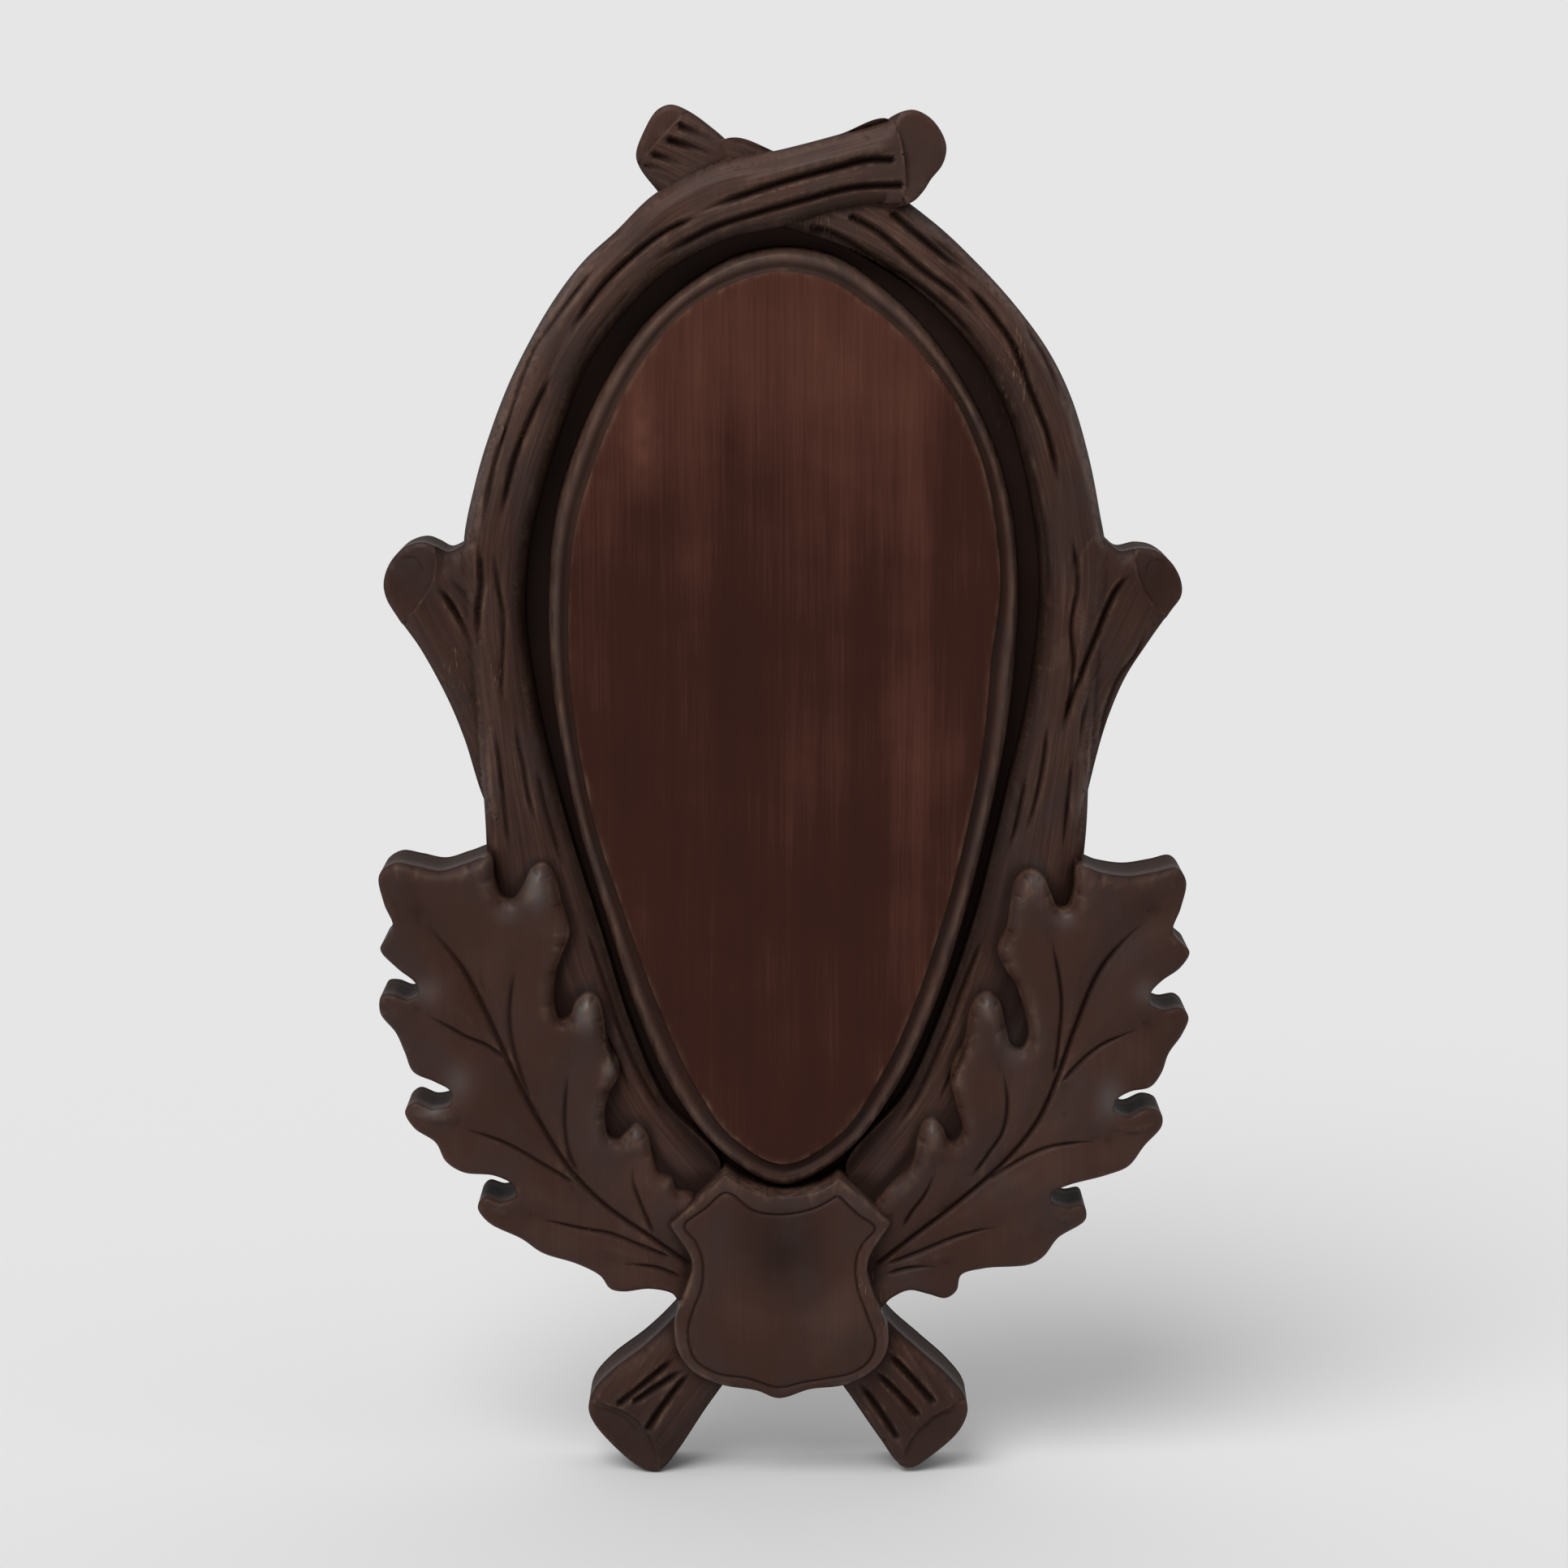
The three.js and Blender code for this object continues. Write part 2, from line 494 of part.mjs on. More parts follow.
/** An oak leaf: its lobed outline with a rounded margin, under a surface that bends at the rib. */
function carveLeaf(outline, rib, outerSide) {
  const edge = outlineOf(outline, 1);
  const blank = stack([
    { outline: edge, height: 0 },
    { outline: edge, height: LEAF_OUTER - LEAF_MARGIN },
    { outline: inset(edge, 0.5 * LEAF_RIM), height: LEAF_OUTER },
    { outline: inset(edge, LEAF_RIM), height: LEAF_INNER + LEAF_MARGIN },
  ]);
  const beyond = (end, next, reach) => {
    const away = new THREE.Vector2(end[0] - next[0], end[1] - next[1]).setLength(reach);
    return [end[0] + away.x, end[1] + away.y];
  };
  const curve = planCurve([
    beyond(rib[0], rib[1], LEAF_FOOT_REACH),
    ...rib,
    beyond(rib.at(-1), rib.at(-2), LEAF_TIP_REACH),
  ]);
  const rows = curve.getSpacedPoints(LEAF_STATIONS).map((p, i) => {
    const along = curve.getTangentAt(i / LEAF_STATIONS);
    return LEAF_SECTION.map(([offset, height]) => [
      p.x + along.z * offset * outerSide,
      p.z - along.x * offset * outerSide,
      height,
    ]);
  });
  return blank.intersect(slab(rows));
}

/** The heraldic shield, gently convex both ways. */
function carveShield() {
  const edge = outlineOf(SHIELD);
  const blank = stack([
    { outline: edge, height: 0 },
    { outline: edge, height: SHIELD_CROWN - SHIELD_FALL - SHIELD_MARGIN },
    { outline: inset(edge, SHIELD_RIM), height: SHIELD_CROWN + SHIELD_MARGIN },
  ]);
  const [acrossSteps, upSteps] = SHIELD_GRID.steps;
  const rows = [];
  for (let j = 0; j <= upSteps; j += 1) {
    const up = THREE.MathUtils.lerp(-SHIELD_GRID.reach[1], SHIELD_GRID.reach[1], j / upSteps);
    const row = [];
    for (let i = 0; i <= acrossSteps; i += 1) {
      const across = THREE.MathUtils.lerp(-SHIELD_GRID.reach[0], SHIELD_GRID.reach[0], i / acrossSteps);
      const fall = SHIELD_FALL * ((across / SHIELD_HALF[0]) ** 2 + (up / SHIELD_HALF[1]) ** 2);
      row.push([SHIELD_MIDDLE[0] + across, SHIELD_MIDDLE[1] + up, SHIELD_CROWN - fall]);
    }
    rows.push(row);
  }
  return blank.intersect(slab(rows));
}

/** The board under the field and the branches, as high as the floor of the groove. */
function carveBoard() {
  const midline = (outer, inner) => {
    const outerCurve = planCurve(outer);
    const innerCurve = planCurve(inner);
    return BOARD_PLACES.map((along) => {
      const middle = outerCurve.getPoint(along).lerp(innerCurve.getPoint(along), 0.5);
      return [middle.x, middle.z];
    });
  };
  const left = midline(FRONT_OUTER, FRONT_INNER);
  const right = midline(BACK_OUTER, BACK_INNER).reverse();
  const edge = [BOARD_FOOT, ...left, BOARD_TOP, ...right];
  return stack([{ outline: edge, height: 0 }, { outline: edge, height: GROOVE_FLOOR }]);
}

/** The whole plaque: the forms joined, then the grooves, ribs, veins and border cut in. */
function carvePlaque() {
  const forms = [
    carveField(),
    carveBranch(FRONT_OUTER, FRONT_INNER, FRONT_CROWNS),
    carveBranch(BACK_OUTER, BACK_INNER, BACK_CROWNS),
    carveStub(STUB_OUTLINES.topLeft, STUB_CROWN),
    carveStub(STUB_OUTLINES.topRight, TOP_RIGHT_CROWN),
    carveStub(STUB_OUTLINES.leftKnob, STUB_CROWN),
    carveStub(STUB_OUTLINES.rightKnob, STUB_CROWN),
    carveStub(STUB_OUTLINES.lowerLeft, STUB_CROWN),
    carveStub(STUB_OUTLINES.lowerRight, STUB_CROWN),
    carveLeaf(LEFT_LEAF, LEFT_RIB, 1),
    carveLeaf(RIGHT_LEAF, RIGHT_RIB, -1),
    carveShield(),
  ];
  let body = forms.reduce((whole, form) => whole.add(form), carveBoard());
  const mesh = body.getMesh();
  const cuts = [
    ...DEEP_GROOVES.map((path) => gouge(mesh, path, GROOVE_CUT)),
    ...FINE_GROOVES.map((path) => gouge(mesh, path, FINE_CUT)),
    ...[LEFT_RIB, RIGHT_RIB].map((path) => gouge(mesh, path, RIB_CUT)),
    ...[...LEFT_VEINS, ...RIGHT_VEINS].map((path) => gouge(mesh, path, VEIN_CUT)),
    gouge(mesh, SHIELD_BORDER, BORDER_CUT),
  ];
  for (const cut of cuts) {
    body = body.subtract(cut);
  }
  return body;
}

/** The surface of a solid, as a geometry. */
function geometryOf(solid) {
  const { vertProperties, triVerts } = solid.getMesh();
  const geometry = new THREE.BufferGeometry();
  geometry.setAttribute('position', new THREE.BufferAttribute(Float32Array.from(vertProperties), 3));
  geometry.setIndex(new THREE.BufferAttribute(Uint32Array.from(triVerts), 1));
  geometry.computeVertexNormals();
  return geometry;
}

const stainedWood = new THREE.MeshStandardMaterial({ color: 0x4a2c20, roughness: 0.5, metalness: 0 });
const plaque = new THREE.Mesh(geometryOf(carvePlaque()), stainedWood);
plaque.name = 'carved_plaque';

const part = new THREE.Group();
part.add(plaque);

export default part;
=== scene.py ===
"""A carved wooden trophy plaque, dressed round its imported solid.

Plan points are [x, z] in millimetres, x to the right and z up as seen from the front, and a height
is measured forwards from the flat back. The finished wood is one closed mesh, in metres, that
stands for the solid of the same form.
"""

import logging
import math
from dataclasses import dataclass, field
from enum import Enum, auto
from typing import Sequence

import bpy
import numpy as np
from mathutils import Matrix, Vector
from mathutils.geometry import delaunay_2d_cdt


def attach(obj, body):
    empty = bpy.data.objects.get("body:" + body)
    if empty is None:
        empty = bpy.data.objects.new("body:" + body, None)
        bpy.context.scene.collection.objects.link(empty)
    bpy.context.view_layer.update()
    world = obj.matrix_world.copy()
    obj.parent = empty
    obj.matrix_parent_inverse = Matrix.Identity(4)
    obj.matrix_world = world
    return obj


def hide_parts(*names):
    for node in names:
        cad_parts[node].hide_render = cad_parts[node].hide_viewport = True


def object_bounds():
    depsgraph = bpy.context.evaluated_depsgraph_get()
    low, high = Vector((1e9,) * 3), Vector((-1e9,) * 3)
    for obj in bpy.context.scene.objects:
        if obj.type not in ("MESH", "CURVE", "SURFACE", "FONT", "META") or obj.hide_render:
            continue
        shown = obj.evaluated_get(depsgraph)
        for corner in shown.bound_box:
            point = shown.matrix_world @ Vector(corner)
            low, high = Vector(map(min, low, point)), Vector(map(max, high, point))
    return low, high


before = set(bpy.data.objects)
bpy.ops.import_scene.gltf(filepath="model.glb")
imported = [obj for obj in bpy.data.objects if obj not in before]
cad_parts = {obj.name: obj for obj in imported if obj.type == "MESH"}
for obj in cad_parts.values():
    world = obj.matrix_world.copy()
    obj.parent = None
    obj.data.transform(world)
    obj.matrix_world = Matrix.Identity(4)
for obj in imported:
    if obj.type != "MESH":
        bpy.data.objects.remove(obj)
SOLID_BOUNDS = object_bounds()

log = logging.getLogger("trophy_plaque")

Array = np.ndarray
Socket = bpy.types.NodeSocket
Pair = tuple[float, float]
Three = tuple[float, float, float]
Points = Sequence[Sequence[float]]

# Millimetres along and across the tool marks, and how strong the bark and the knife marks are
Marks = tuple[Array, Array, Array, Array]

MM = 0.001

# Heights above the back, in millimetres
GROOVE_FLOOR = 8.0
FIELD_HEIGHT = 17.0
LOWER_CROWN = 14.0
LEAF_RIB = 17.5
LEAF_OUTER = 13.5
LEAF_INNER = 19.0
SHIELD_CROWN = 21.9

# How closely the mesh follows the carving, in millimetres
EDGE_STEP = 0.55
MEASURE_STEP = 1.0
WALL_FOOT = 0.3
BURIED = 0.8
NEAR = 2.5
BACK_EASE = 0.25
RAIL_CLEARANCE = 0.17
LINE_CLEARANCE = 0.15

# Millimetres that a form's wall falls for each one outwards
WALL_SLOPE = 40.0

# How far in from its edge a form's tool marks fade in
BARK_FADE = (0.1, 1.6)
KNIFE_FADE = (0.3, 2.5)

# How spots are worked through: so many at a time, and so many between two points of a line
CHUNK = 1500
SPOTS_PER_SPAN = 24

# A height below everything, and distances that are as good as none
FAR_BELOW = -100.0
MERGE = 1e-4
HAIR = 1e-6

# The field's edge and the moulding's foot: (z, left, right), from the top down
FIELD_TOP = 112.2
FIELD_BOTTOM = -84.5
FIELD_ROWS = (
    (110, 10, 10.5), (104.5, 20, 19), (95.5, 28.5, 29), (84, 35.5, 37.5), (72, 40.5, 42.8),
    (58, 44.8, 46), (44, 46.4, 47), (28, 46.6, 45.2), (10, 44.8, 43.6), (-10, 40.8, 40),
    (-30, 34.2, 34.8), (-50, 27, 28.2), (-66, 19.8, 20.8), (-78, 11.8, 12.4),
)
FOOT_TOP = 117.4
FOOT_BOTTOM = -90.8
FOOT_ROWS = (
    (115.5, 10, 10.5), (110, 19.8, 19.6), (101, 30, 29.6), (88.5, 38.6, 38.8), (75, 45, 45.6),
    (60, 49.6, 49.8), (45, 51.2, 51.3), (28, 51.2, 50.8), (10, 49, 48.8), (-10, 44.9, 44.8),
    (-31, 38.8, 39.6), (-52, 32.2, 32.8), (-70, 24, 24.2), (-83, 13.8, 14.2),
)

# The branches, from the foot of the plaque to the top
FRONT_OUTER = (
    (-28, -100), (-48, -76), (-60, -48), (-65, -24), (-66, -6), (-67.5, 20), (-69.5, 42),
    (-69.8, 54), (-67.3, 66), (-64.3, 76), (-58.7, 90), (-50, 105.5), (-43, 114.5),
    (-36, 120.8), (-27.5, 128.8), (-15, 135), (0, 138.2), (12, 141.3), (22.6, 144.4),
)
FRONT_INNER = (
    (-14, -86.5), (-26.5, -71), (-34, -53.5), (-40.5, -32), (-45.5, -16), (-50, 0), (-54.3, 19),
    (-56.7, 38), (-55.7, 52), (-52.8, 64.5), (-49, 76.5), (-42.5, 92.5), (-33.5, 104.5),
    (-24.5, 112.8), (-12, 119.4), (0, 122), (10, 125), (18, 126.6), (25.2, 127),
)
BACK_OUTER = (
    (28, -100), (47, -76), (58.5, -52), (64.5, -30), (66.8, -12), (67.5, 8), (69, 30),
    (70.3, 52), (69, 60), (66.5, 72), (62.5, 85), (57.5, 95), (50.5, 104.5), (42, 113.8),
    (32, 123), (20, 131), (0, 137), (-12, 140.5),
)
BACK_INNER = (
    (14, -87), (27.5, -69), (36, -49), (42.3, -30), (46.3, -14), (49.5, 0), (53.8, 19),
    (56.2, 40), (55.8, 52), (53, 68), (49, 81.5), (43, 93), (35, 102.7), (26, 110.6),
    (15, 116.8), (4, 120.6), (-10, 124), (-24, 128),
)

# The cut stubs' outlines
TOP_LEFT_STUB = (
    (-5, 134), (-9.5, 137.6), (-15, 142.4), (-20.5, 146.3), (-24, 147.6), (-27, 146.4),
    (-29.8, 142), (-31.5, 137.3), (-31, 134.8), (-28, 130.6), (-22, 125), (-6, 126),
)
TOP_RIGHT_STUB = (
    (17.5, 139), (20.6, 142.6), (23.6, 145.2), (27.4, 146.5), (31, 145), (33.7, 141.8),
    (34.8, 138.5), (34, 135), (31.5, 131.8), (29.8, 129.2), (27, 126.8), (20, 126.8), (15.5, 134),
)
LEFT_KNOB = (
    (-62.8, -10), (-66.4, -2.6), (-70.2, 10), (-74, 20), (-79.3, 30.5), (-84, 37.3), (-86.6, 41.6),
    (-87.2, 45), (-85.8, 49.3), (-82.5, 52.8), (-78.5, 54), (-75.8, 53.1), (-73.2, 51.8),
    (-70.6, 52.8), (-66.5, 55), (-61.5, 48), (-60, 25), (-61, 0),
)
RIGHT_KNOB = (
    (63.6, -13), (66.5, -4), (69, 6.5), (71.5, 15.5), (75, 24.5), (79.6, 32), (84.3, 38.8),
    (86.7, 42.3), (86.6, 45.5), (84.6, 49.3), (81.2, 52), (77.5, 52.7), (73.2, 52),
    (70.8, 53.8), (67, 56.5), (62, 49), (60.5, 25), (61, 0),
)
LOWER_LEFT_STUB = (
    (-18, -112), (-24.5, -120.8), (-31, -127.3), (-39, -133.6), (-43, -138.3), (-44, -142.2),
    (-42.3, -146.4), (-35, -154.2), (-30.5, -156.7), (-27.5, -156.4), (-24.5, -153),
    (-17.5, -142.2), (-12, -134), (-6, -120),
)
LOWER_RIGHT_STUB = (
    (18, -112), (23.3, -121.5), (31, -128.8), (37, -134.3), (40.8, -139.2), (41.6, -142.6),
    (39.6, -147.6), (33, -153.7), (29, -156), (26.2, -155.2), (22, -149.5), (15.5, -139.8),
    (11, -133), (6, -120),
)

# The oak leaves' outlines, outwards round the lobes and back along the branch
LEFT_LEAF = (
    (-64.6, -15.2), (-70, -16.6), (-75.5, -18.2), (-81, -17.2), (-85.5, -16.6), (-89, -19.2),
    (-88, -25.5), (-86.1, -30.5), (-87.5, -33), (-89, -35.8), (-85.4, -40), (-81.3, -43.4),
    (-80.8, -45.8), (-83.2, -47.2), (-86.6, -46.1), (-89, -46.4), (-89.4, -50.5), (-86, -55),
    (-84.1, -59.5), (-82.3, -63.9), (-77.5, -66), (-74, -68), (-74.2, -71), (-78, -72.3),
    (-82.2, -71), (-84.4, -73.2), (-82.4, -77), (-77.6, -80.2), (-75.4, -84.5), (-71.5, -86.9),
    (-64.5, -87.4), (-60.3, -89.4), (-59.8, -91.8), (-63, -93.4), (-66.8, -92.6), (-68.4, -95),
    (-66, -98.5), (-58.5, -102.2), (-54, -105.3), (-46, -107.8), (-41, -110.5), (-38.8, -113.5),
    (-36, -114.1), (-30, -113.3), (-25, -114.3), (-23, -116.2), (-17, -114), (-15, -100),
    (-20.3, -92), (-23.7, -91), (-25, -88.2), (-28, -87), (-29.5, -82.5), (-30.4, -78),
    (-32.7, -75.9), (-34.6, -77.3), (-36.8, -79.5), (-39, -78.6), (-39.9, -74), (-39, -68.7),
    (-36.9, -64.8), (-36.8, -62), (-39, -57.8), (-39.9, -51.5), (-41.2, -46.9), (-43.4, -46),
    (-45.8, -47.8), (-47.3, -51.2), (-49.5, -52), (-50.8, -48), (-50.5, -41.5), (-48.4, -35.5),
    (-47.2, -32), (-49, -25.5), (-50.8, -18.8), (-53, -16.8), (-55.5, -18.2), (-57.2, -21.7),
    (-59.6, -25), (-62.3, -24.4), (-64, -20),
)
RIGHT_LEAF = (
    (65, -17.2), (70, -18.6), (76, -19.4), (82, -18.5), (86.5, -17.7), (88.6, -20.5),
    (87.5, -26.5), (85.8, -31.6), (87.4, -34), (89.6, -36.4), (87.6, -40), (83.5, -43),
    (81.2, -45.6), (81.2, -48), (84, -49.6), (88, -49.3), (89.8, -51.5), (88.4, -55.5),
    (85.5, -59.8), (84, -64.2), (81.6, -67.3), (77, -68.2), (73.9, -70), (73.6, -72.2),
    (76.5, -73.9), (81, -72.3), (84, -73.4), (84.4, -76.4), (80.5, -81), (77, -85.6),
    (72, -87.5), (63, -89.7), (59.8, -91.3), (60, -93.2), (63.5, -94.7), (67, -94.4),
    (67.6, -97.8), (61.5, -102), (58.3, -106.4), (55.2, -108.2), (45, -108.8), (39.8, -110.3),
    (38.8, -114), (36.4, -115.7), (32.5, -114.6), (28.2, -113.6), (24.2, -115.4), (21.5, -117.6),
    (16, -113), (15, -100), (22, -92.3), (24.4, -89.5), (27.5, -86.6), (29.3, -84), (30, -79),
    (31.6, -75.2), (33.4, -74.5), (35.4, -76.5), (36.7, -79.5), (38.6, -80), (40, -77.2),
    (38.8, -72), (37.4, -65.5), (38.2, -61.4), (40.3, -57), (41.3, -50.5), (43, -46.9),
    (45.4, -45.8), (47.8, -47.8), (49.2, -53.4), (50.6, -57.8), (52.8, -59), (54.5, -56),
    (53.4, -49.5), (51.2, -43.5), (48.4, -39.2), (47.6, -35.6), (49.5, -31), (50.4, -23.5),
    (52.3, -19.2), (54.8, -18.2), (57.2, -19.8), (58.9, -23.4), (60.5, -26.6), (62.8, -26.8),
    (64.2, -23),
)

# The ribs of the leaves, from the foot to the tip, and the veins that branch off them
LEFT_RIB = (
    (-20, -108.5), (-30, -101.3), (-40, -94), (-47.5, -86), (-54.5, -74.5), (-60, -63.5),
    (-66.2, -49.3), (-71, -40), (-80, -28.5),
)
RIGHT_RIB = (
    (20, -108.5), (29.8, -100.8), (39.7, -92.9), (49.6, -83.9), (56.5, -75), (61, -64.5),
    (64.5, -54), (70.5, -39.7), (81, -28),
)
LEAF_VEINS = (
    ((-61, -61.2), (-66, -57.4), (-70, -55.6), (-75, -52.6), (-80.4, -49.6)),
    ((-46.2, -89.6), (-49.8, -87), (-53.8, -84.5), (-58.2, -81.6), (-63, -79.2), (-72.6, -76)),
    ((-24.5, -106.6), (-32, -103.4), (-38.5, -100.6), (-44.3, -99.4), (-56, -96.8)),
    ((-22, -111.2), (-28, -108.5), (-38, -107.2)),
    ((-56.2, -70), (-58.6, -63), (-60, -57), (-60.5, -51), (-60, -45), (-58.6, -38)),
    ((-45.4, -87.6), (-47.6, -82.4), (-48.5, -75), (-47.5, -61.5)),
    ((-28.6, -101.4), (-31.2, -95), (-33.4, -88), (-33, -83)),
    ((61.4, -66.6), (64.8, -62.4), (68, -59.2), (71, -57), (75, -55.2), (80, -53)),
    ((44.6, -89), (50, -85.4), (55, -82.4), (60.3, -80.3), (71.4, -79.1)),
    ((22.6, -108), (30, -105), (39.7, -100.8), (49.4, -98.6)),
    ((22.4, -110.2), (28, -108.5), (36.4, -108)),
    ((60, -65), (61, -56.5), (61.4, -46.4), (58.8, -31.7)),
    ((42, -87.6), (45.6, -82.2), (48.7, -77.1), (49.7, -70.6), (48.5, -61.5)),
    ((26.4, -99.6), (28.6, -95.5), (31.6, -91.3), (34.4, -84.4)),
)

# The heraldic shield and the line cut round it
SHIELD_EDGE = (
    (-13.5, -86.8), (-12.9, -86.3), (-12.1, -86.8), (-8, -89.3), (0, -91), (8, -89.7),
    (11.6, -87.7), (12.4, -87.1), (13, -87.6), (18.4, -92.2), (23.2, -96.8), (23.7, -97.4),
    (23.2, -98.3), (19.3, -104.4), (18.6, -108), (20.2, -114), (22.7, -120), (23.3, -126),
    (20.8, -130.5), (14, -134.4), (6, -135.4), (-1, -137.5), (-6, -135.7), (-14, -134.4),
    (-20.5, -131.2), (-23.8, -126), (-24, -119.5), (-22.2, -114), (-20.3, -108.5),
    (-20.6, -105), (-24.5, -98.8), (-24.9, -98), (-24.3, -97.3), (-19, -92.1),
)
SHIELD_BORDER = (
    (12.2, -90.8), (7, -93.6), (0, -95), (-6.5, -94.2), (-12.6, -90.2), (-17.4, -94), (-22, -98),
    (-19.4, -101.6), (-17.9, -106), (-18.2, -112), (-20.2, -117.5), (-21.3, -123),
    (-19.6, -128.8), (-14.6, -131.9), (-8, -132.9), (-1, -135), (4.6, -133.8), (10, -132.9),
    (15.6, -131.7), (19.2, -129), (20.6, -124.5), (18.8, -118.5), (16.6, -112), (16.2, -106),
    (17.6, -102), (20.4, -98.4), (16.4, -95), (12.2, -90.8),
)

# The board under the carving, between the middles of the branches
BOARD_FOOT = (0, -112)
BOARD_TOP = (0, 128)
BOARD_SHARES = (0, 0.1, 0.2, 0.3, 0.4, 0.5, 0.6, 0.7, 0.8)


class Region(Enum):
    """The kinds of carved ground. The field is planed flat, and the others are cut with gouges."""

    GROOVE = auto()
    BRANCH = auto()
    FIELD = auto()
    LEAF = auto()
    SHIELD = auto()


@dataclass(frozen=True)
class Strokes:
    """Cuts of one kind: where the tool went, and the section that it left.

    A negative depth is a ridge that was left standing. The round of a cut is 0 for a V and 1
    for a flute, and its runs are the lengths over which it deepens from its first point and
    towards its last one.
    """

    name: str
    paths: Sequence[Points]
    width: float
    depth: float
    round: float = 0.5
    run_in: float = 6.0
    run_out: float = 6.0
    # How dark the cut is made: stain that pools in it, with painted shade
    stain: float = 1.0


BARK_FLUTES = Strokes(
    "flutes", (
        ((23.6, 135.9), (18, 136), (10, 134), (0, 131.3), (-10, 128), (-19, 124.6)),
        ((25.5, 130.7), (15, 130.2), (5, 127.8), (-5, 125), (-15, 121.7), (-25, 116.5), (-30, 113.5)),
        ((23, 125), (27, 121.5), (35, 115), (39, 112.3), (42.5, 109)),
        ((14, 124.3), (20, 121), (30, 112.6), (37, 107.5), (44, 100.5)),
        ((5.5, 121.8), (10, 120.7), (20, 114.8), (30, 108.5), (38, 101.5), (45, 92.5)),
        ((-22.6, 143.3), (-18, 141.4), (-12.5, 139.2)),
        ((-24.8, 140.3), (-19, 138.5), (-12.5, 136.4)),
        ((-28, 137.2), (-24, 135.9), (-18.5, 133.6)),
        ((-29.6, 135), (-26, 133.9), (-22.5, 132.6)),
    ), 2.4, 1.5, 0.85, 0.6, 12.0,
)
STUB_FLUTES = Strokes(
    "stub_flutes", (
        ((-37.5, -141), (-31, -135.4), (-23.6, -129.2)),
        ((-34, -140.4), (-28, -136.2), (-21.4, -131.8)),
        ((-31, -147), (-27.5, -141.5), (-22.4, -134.8), (-20, -132.6)),
        ((34.2, -140.5), (29, -134.5), (22.4, -127.4)),
        ((30.7, -143.6), (26, -138.2), (19.8, -131.8)),
        ((26, -149), (22, -142.5), (16.6, -134.6)),
    ), 2.3, 1.2, 0.7, 1.2, 5.0,
)
BARK_GROOVES = Strokes(
    "grooves", (
        ((-17, 124.7), (-25, 121), (-30, 117.5), (-38, 110), (-44, 102), (-46.5, 97.5)),
        ((-49.2, 91.5), (-54, 82), (-57.8, 72.5), (-60, 64), (-61.3, 58)),
        ((39, 110), (44.5, 103.5), (49.5, 96.5), (53, 87.5), (57, 77.5), (60, 65)),
        ((-76, 45.6), (-72.5, 41), (-70, 36.5), (-67.5, 31)),
        ((76, 48), (72.5, 44), (70.5, 40), (68, 34), (65, 26), (62, 17), (60.5, 11)),
        ((-66, 55), (-65.5, 46), (-66.3, 38), (-66.5, 30)),
    ), 2.2, 1.45, 0.4, 6.0, 9.0,
)
BARK_LINES = Strokes(
    "lines", (
        ((-30, 111.4), (-35, 106), (-41, 98.5), (-45.4, 89.5)),
        ((-39.5, 114.2), (-49.3, 101.7), (-53.8, 95), (-59, 81), (-63.6, 65.9), (-65, 56)),
        ((-59.8, 79), (-61.8, 73), (-63.2, 66), (-64.6, 58)),
        ((30, 121), (36, 116), (41.5, 111.5)),
        ((51, 103.5), (53.5, 98.5), (57, 92.5), (60, 84)),
        ((52, 74), (54.5, 66), (56.5, 57), (57.4, 48), (57.6, 40)),
        ((62.6, 56), (63.8, 45), (62.5, 36), (63.2, 28), (62.5, 20), (61.5, 11)),
        ((-62.5, 53), (-62, 46), (-60.8, 38), (-61.2, 26), (-61.6, 18)),
        ((-73, 47.4), (-70, 43.5), (-67.4, 39.6)),
        ((79, 36), (77, 30), (73.5, 25), (71.5, 20), (70, 14), (69.3, 7)),
        ((67, 22), (65.4, 15), (64.8, 8)),
        ((-58.5, 16), (-58, 10), (-57, 5), (-56, -2), (-53.8, -10)),
        ((-63, 14), (-61.8, 2), (-61, -8), (-60, -16)),
        ((-54.4, 6), (-52.9, -2), (-50.9, -10), (-48.2, -20)),
        ((57.8, 15), (57, 6), (55.6, -2), (53, -12)),
        ((63.4, 8), (62.4, -4), (61.4, -16)),
        ((53.6, 4), (51.8, -6), (49.4, -16)),
        ((-43.8, -31), (-40.1, -43), (-35.7, -56.5), (-30.2, -68.5), (-24.6, -77)),
        ((44.4, -33), (40.2, -44.5), (35.2, -58), (29.8, -70), (24.6, -78.4)),
        ((-40.4, -53.5), (-37.2, -61.5), (-33.4, -70)),
        ((41.6, -54), (38.2, -63), (34, -72.4)),
    ), 1.7, 0.85, 0.3, 6.0, 8.0, 0.8,
)
RIDGES = Strokes(
    "ridges", (
        ((23, 138.7), (12, 136.3), (0, 133.4), (-10, 130.5)),
        ((5, 120.4), (13, 117), (22, 112.2), (30, 106.5)),
        ((28, 122), (34, 117), (40, 112), (44, 106.5)),
        ((-83, -72.6), (-80, -74), (-76, -74.3), (-71.5, -73.6)),
        ((83.4, -75.4), (79, -76.5), (75, -76.2), (71.5, -74.2)),
        ((-65.6, -94.6), (-62.5, -95.6), (-58.6, -94.4)),
        ((66, -96.2), (62.5, -97), (58.6, -95.2)),
    ), 2.2, -0.42, 0.8, 3.0, 5.0, 0.0,
)
LEAF_RIBS = Strokes("ribs", (LEFT_RIB, RIGHT_RIB), 1.8, 1.0, 0.3, 2.0, 16.0, 0.8)
VEIN_CUTS = Strokes(
    "veins", (
        *LEAF_VEINS,
        ((-65.8, -46), (-67.6, -39.5)),
        ((33.6, -96.3), (38.8, -92.8)),
        ((60.4, -75.4), (61.6, -72.4)),
        ((75.2, -28.6), (74.6, -24)),
    ), 1.45, 0.72, 0.25, 3.0, 9.0, 0.75,
)
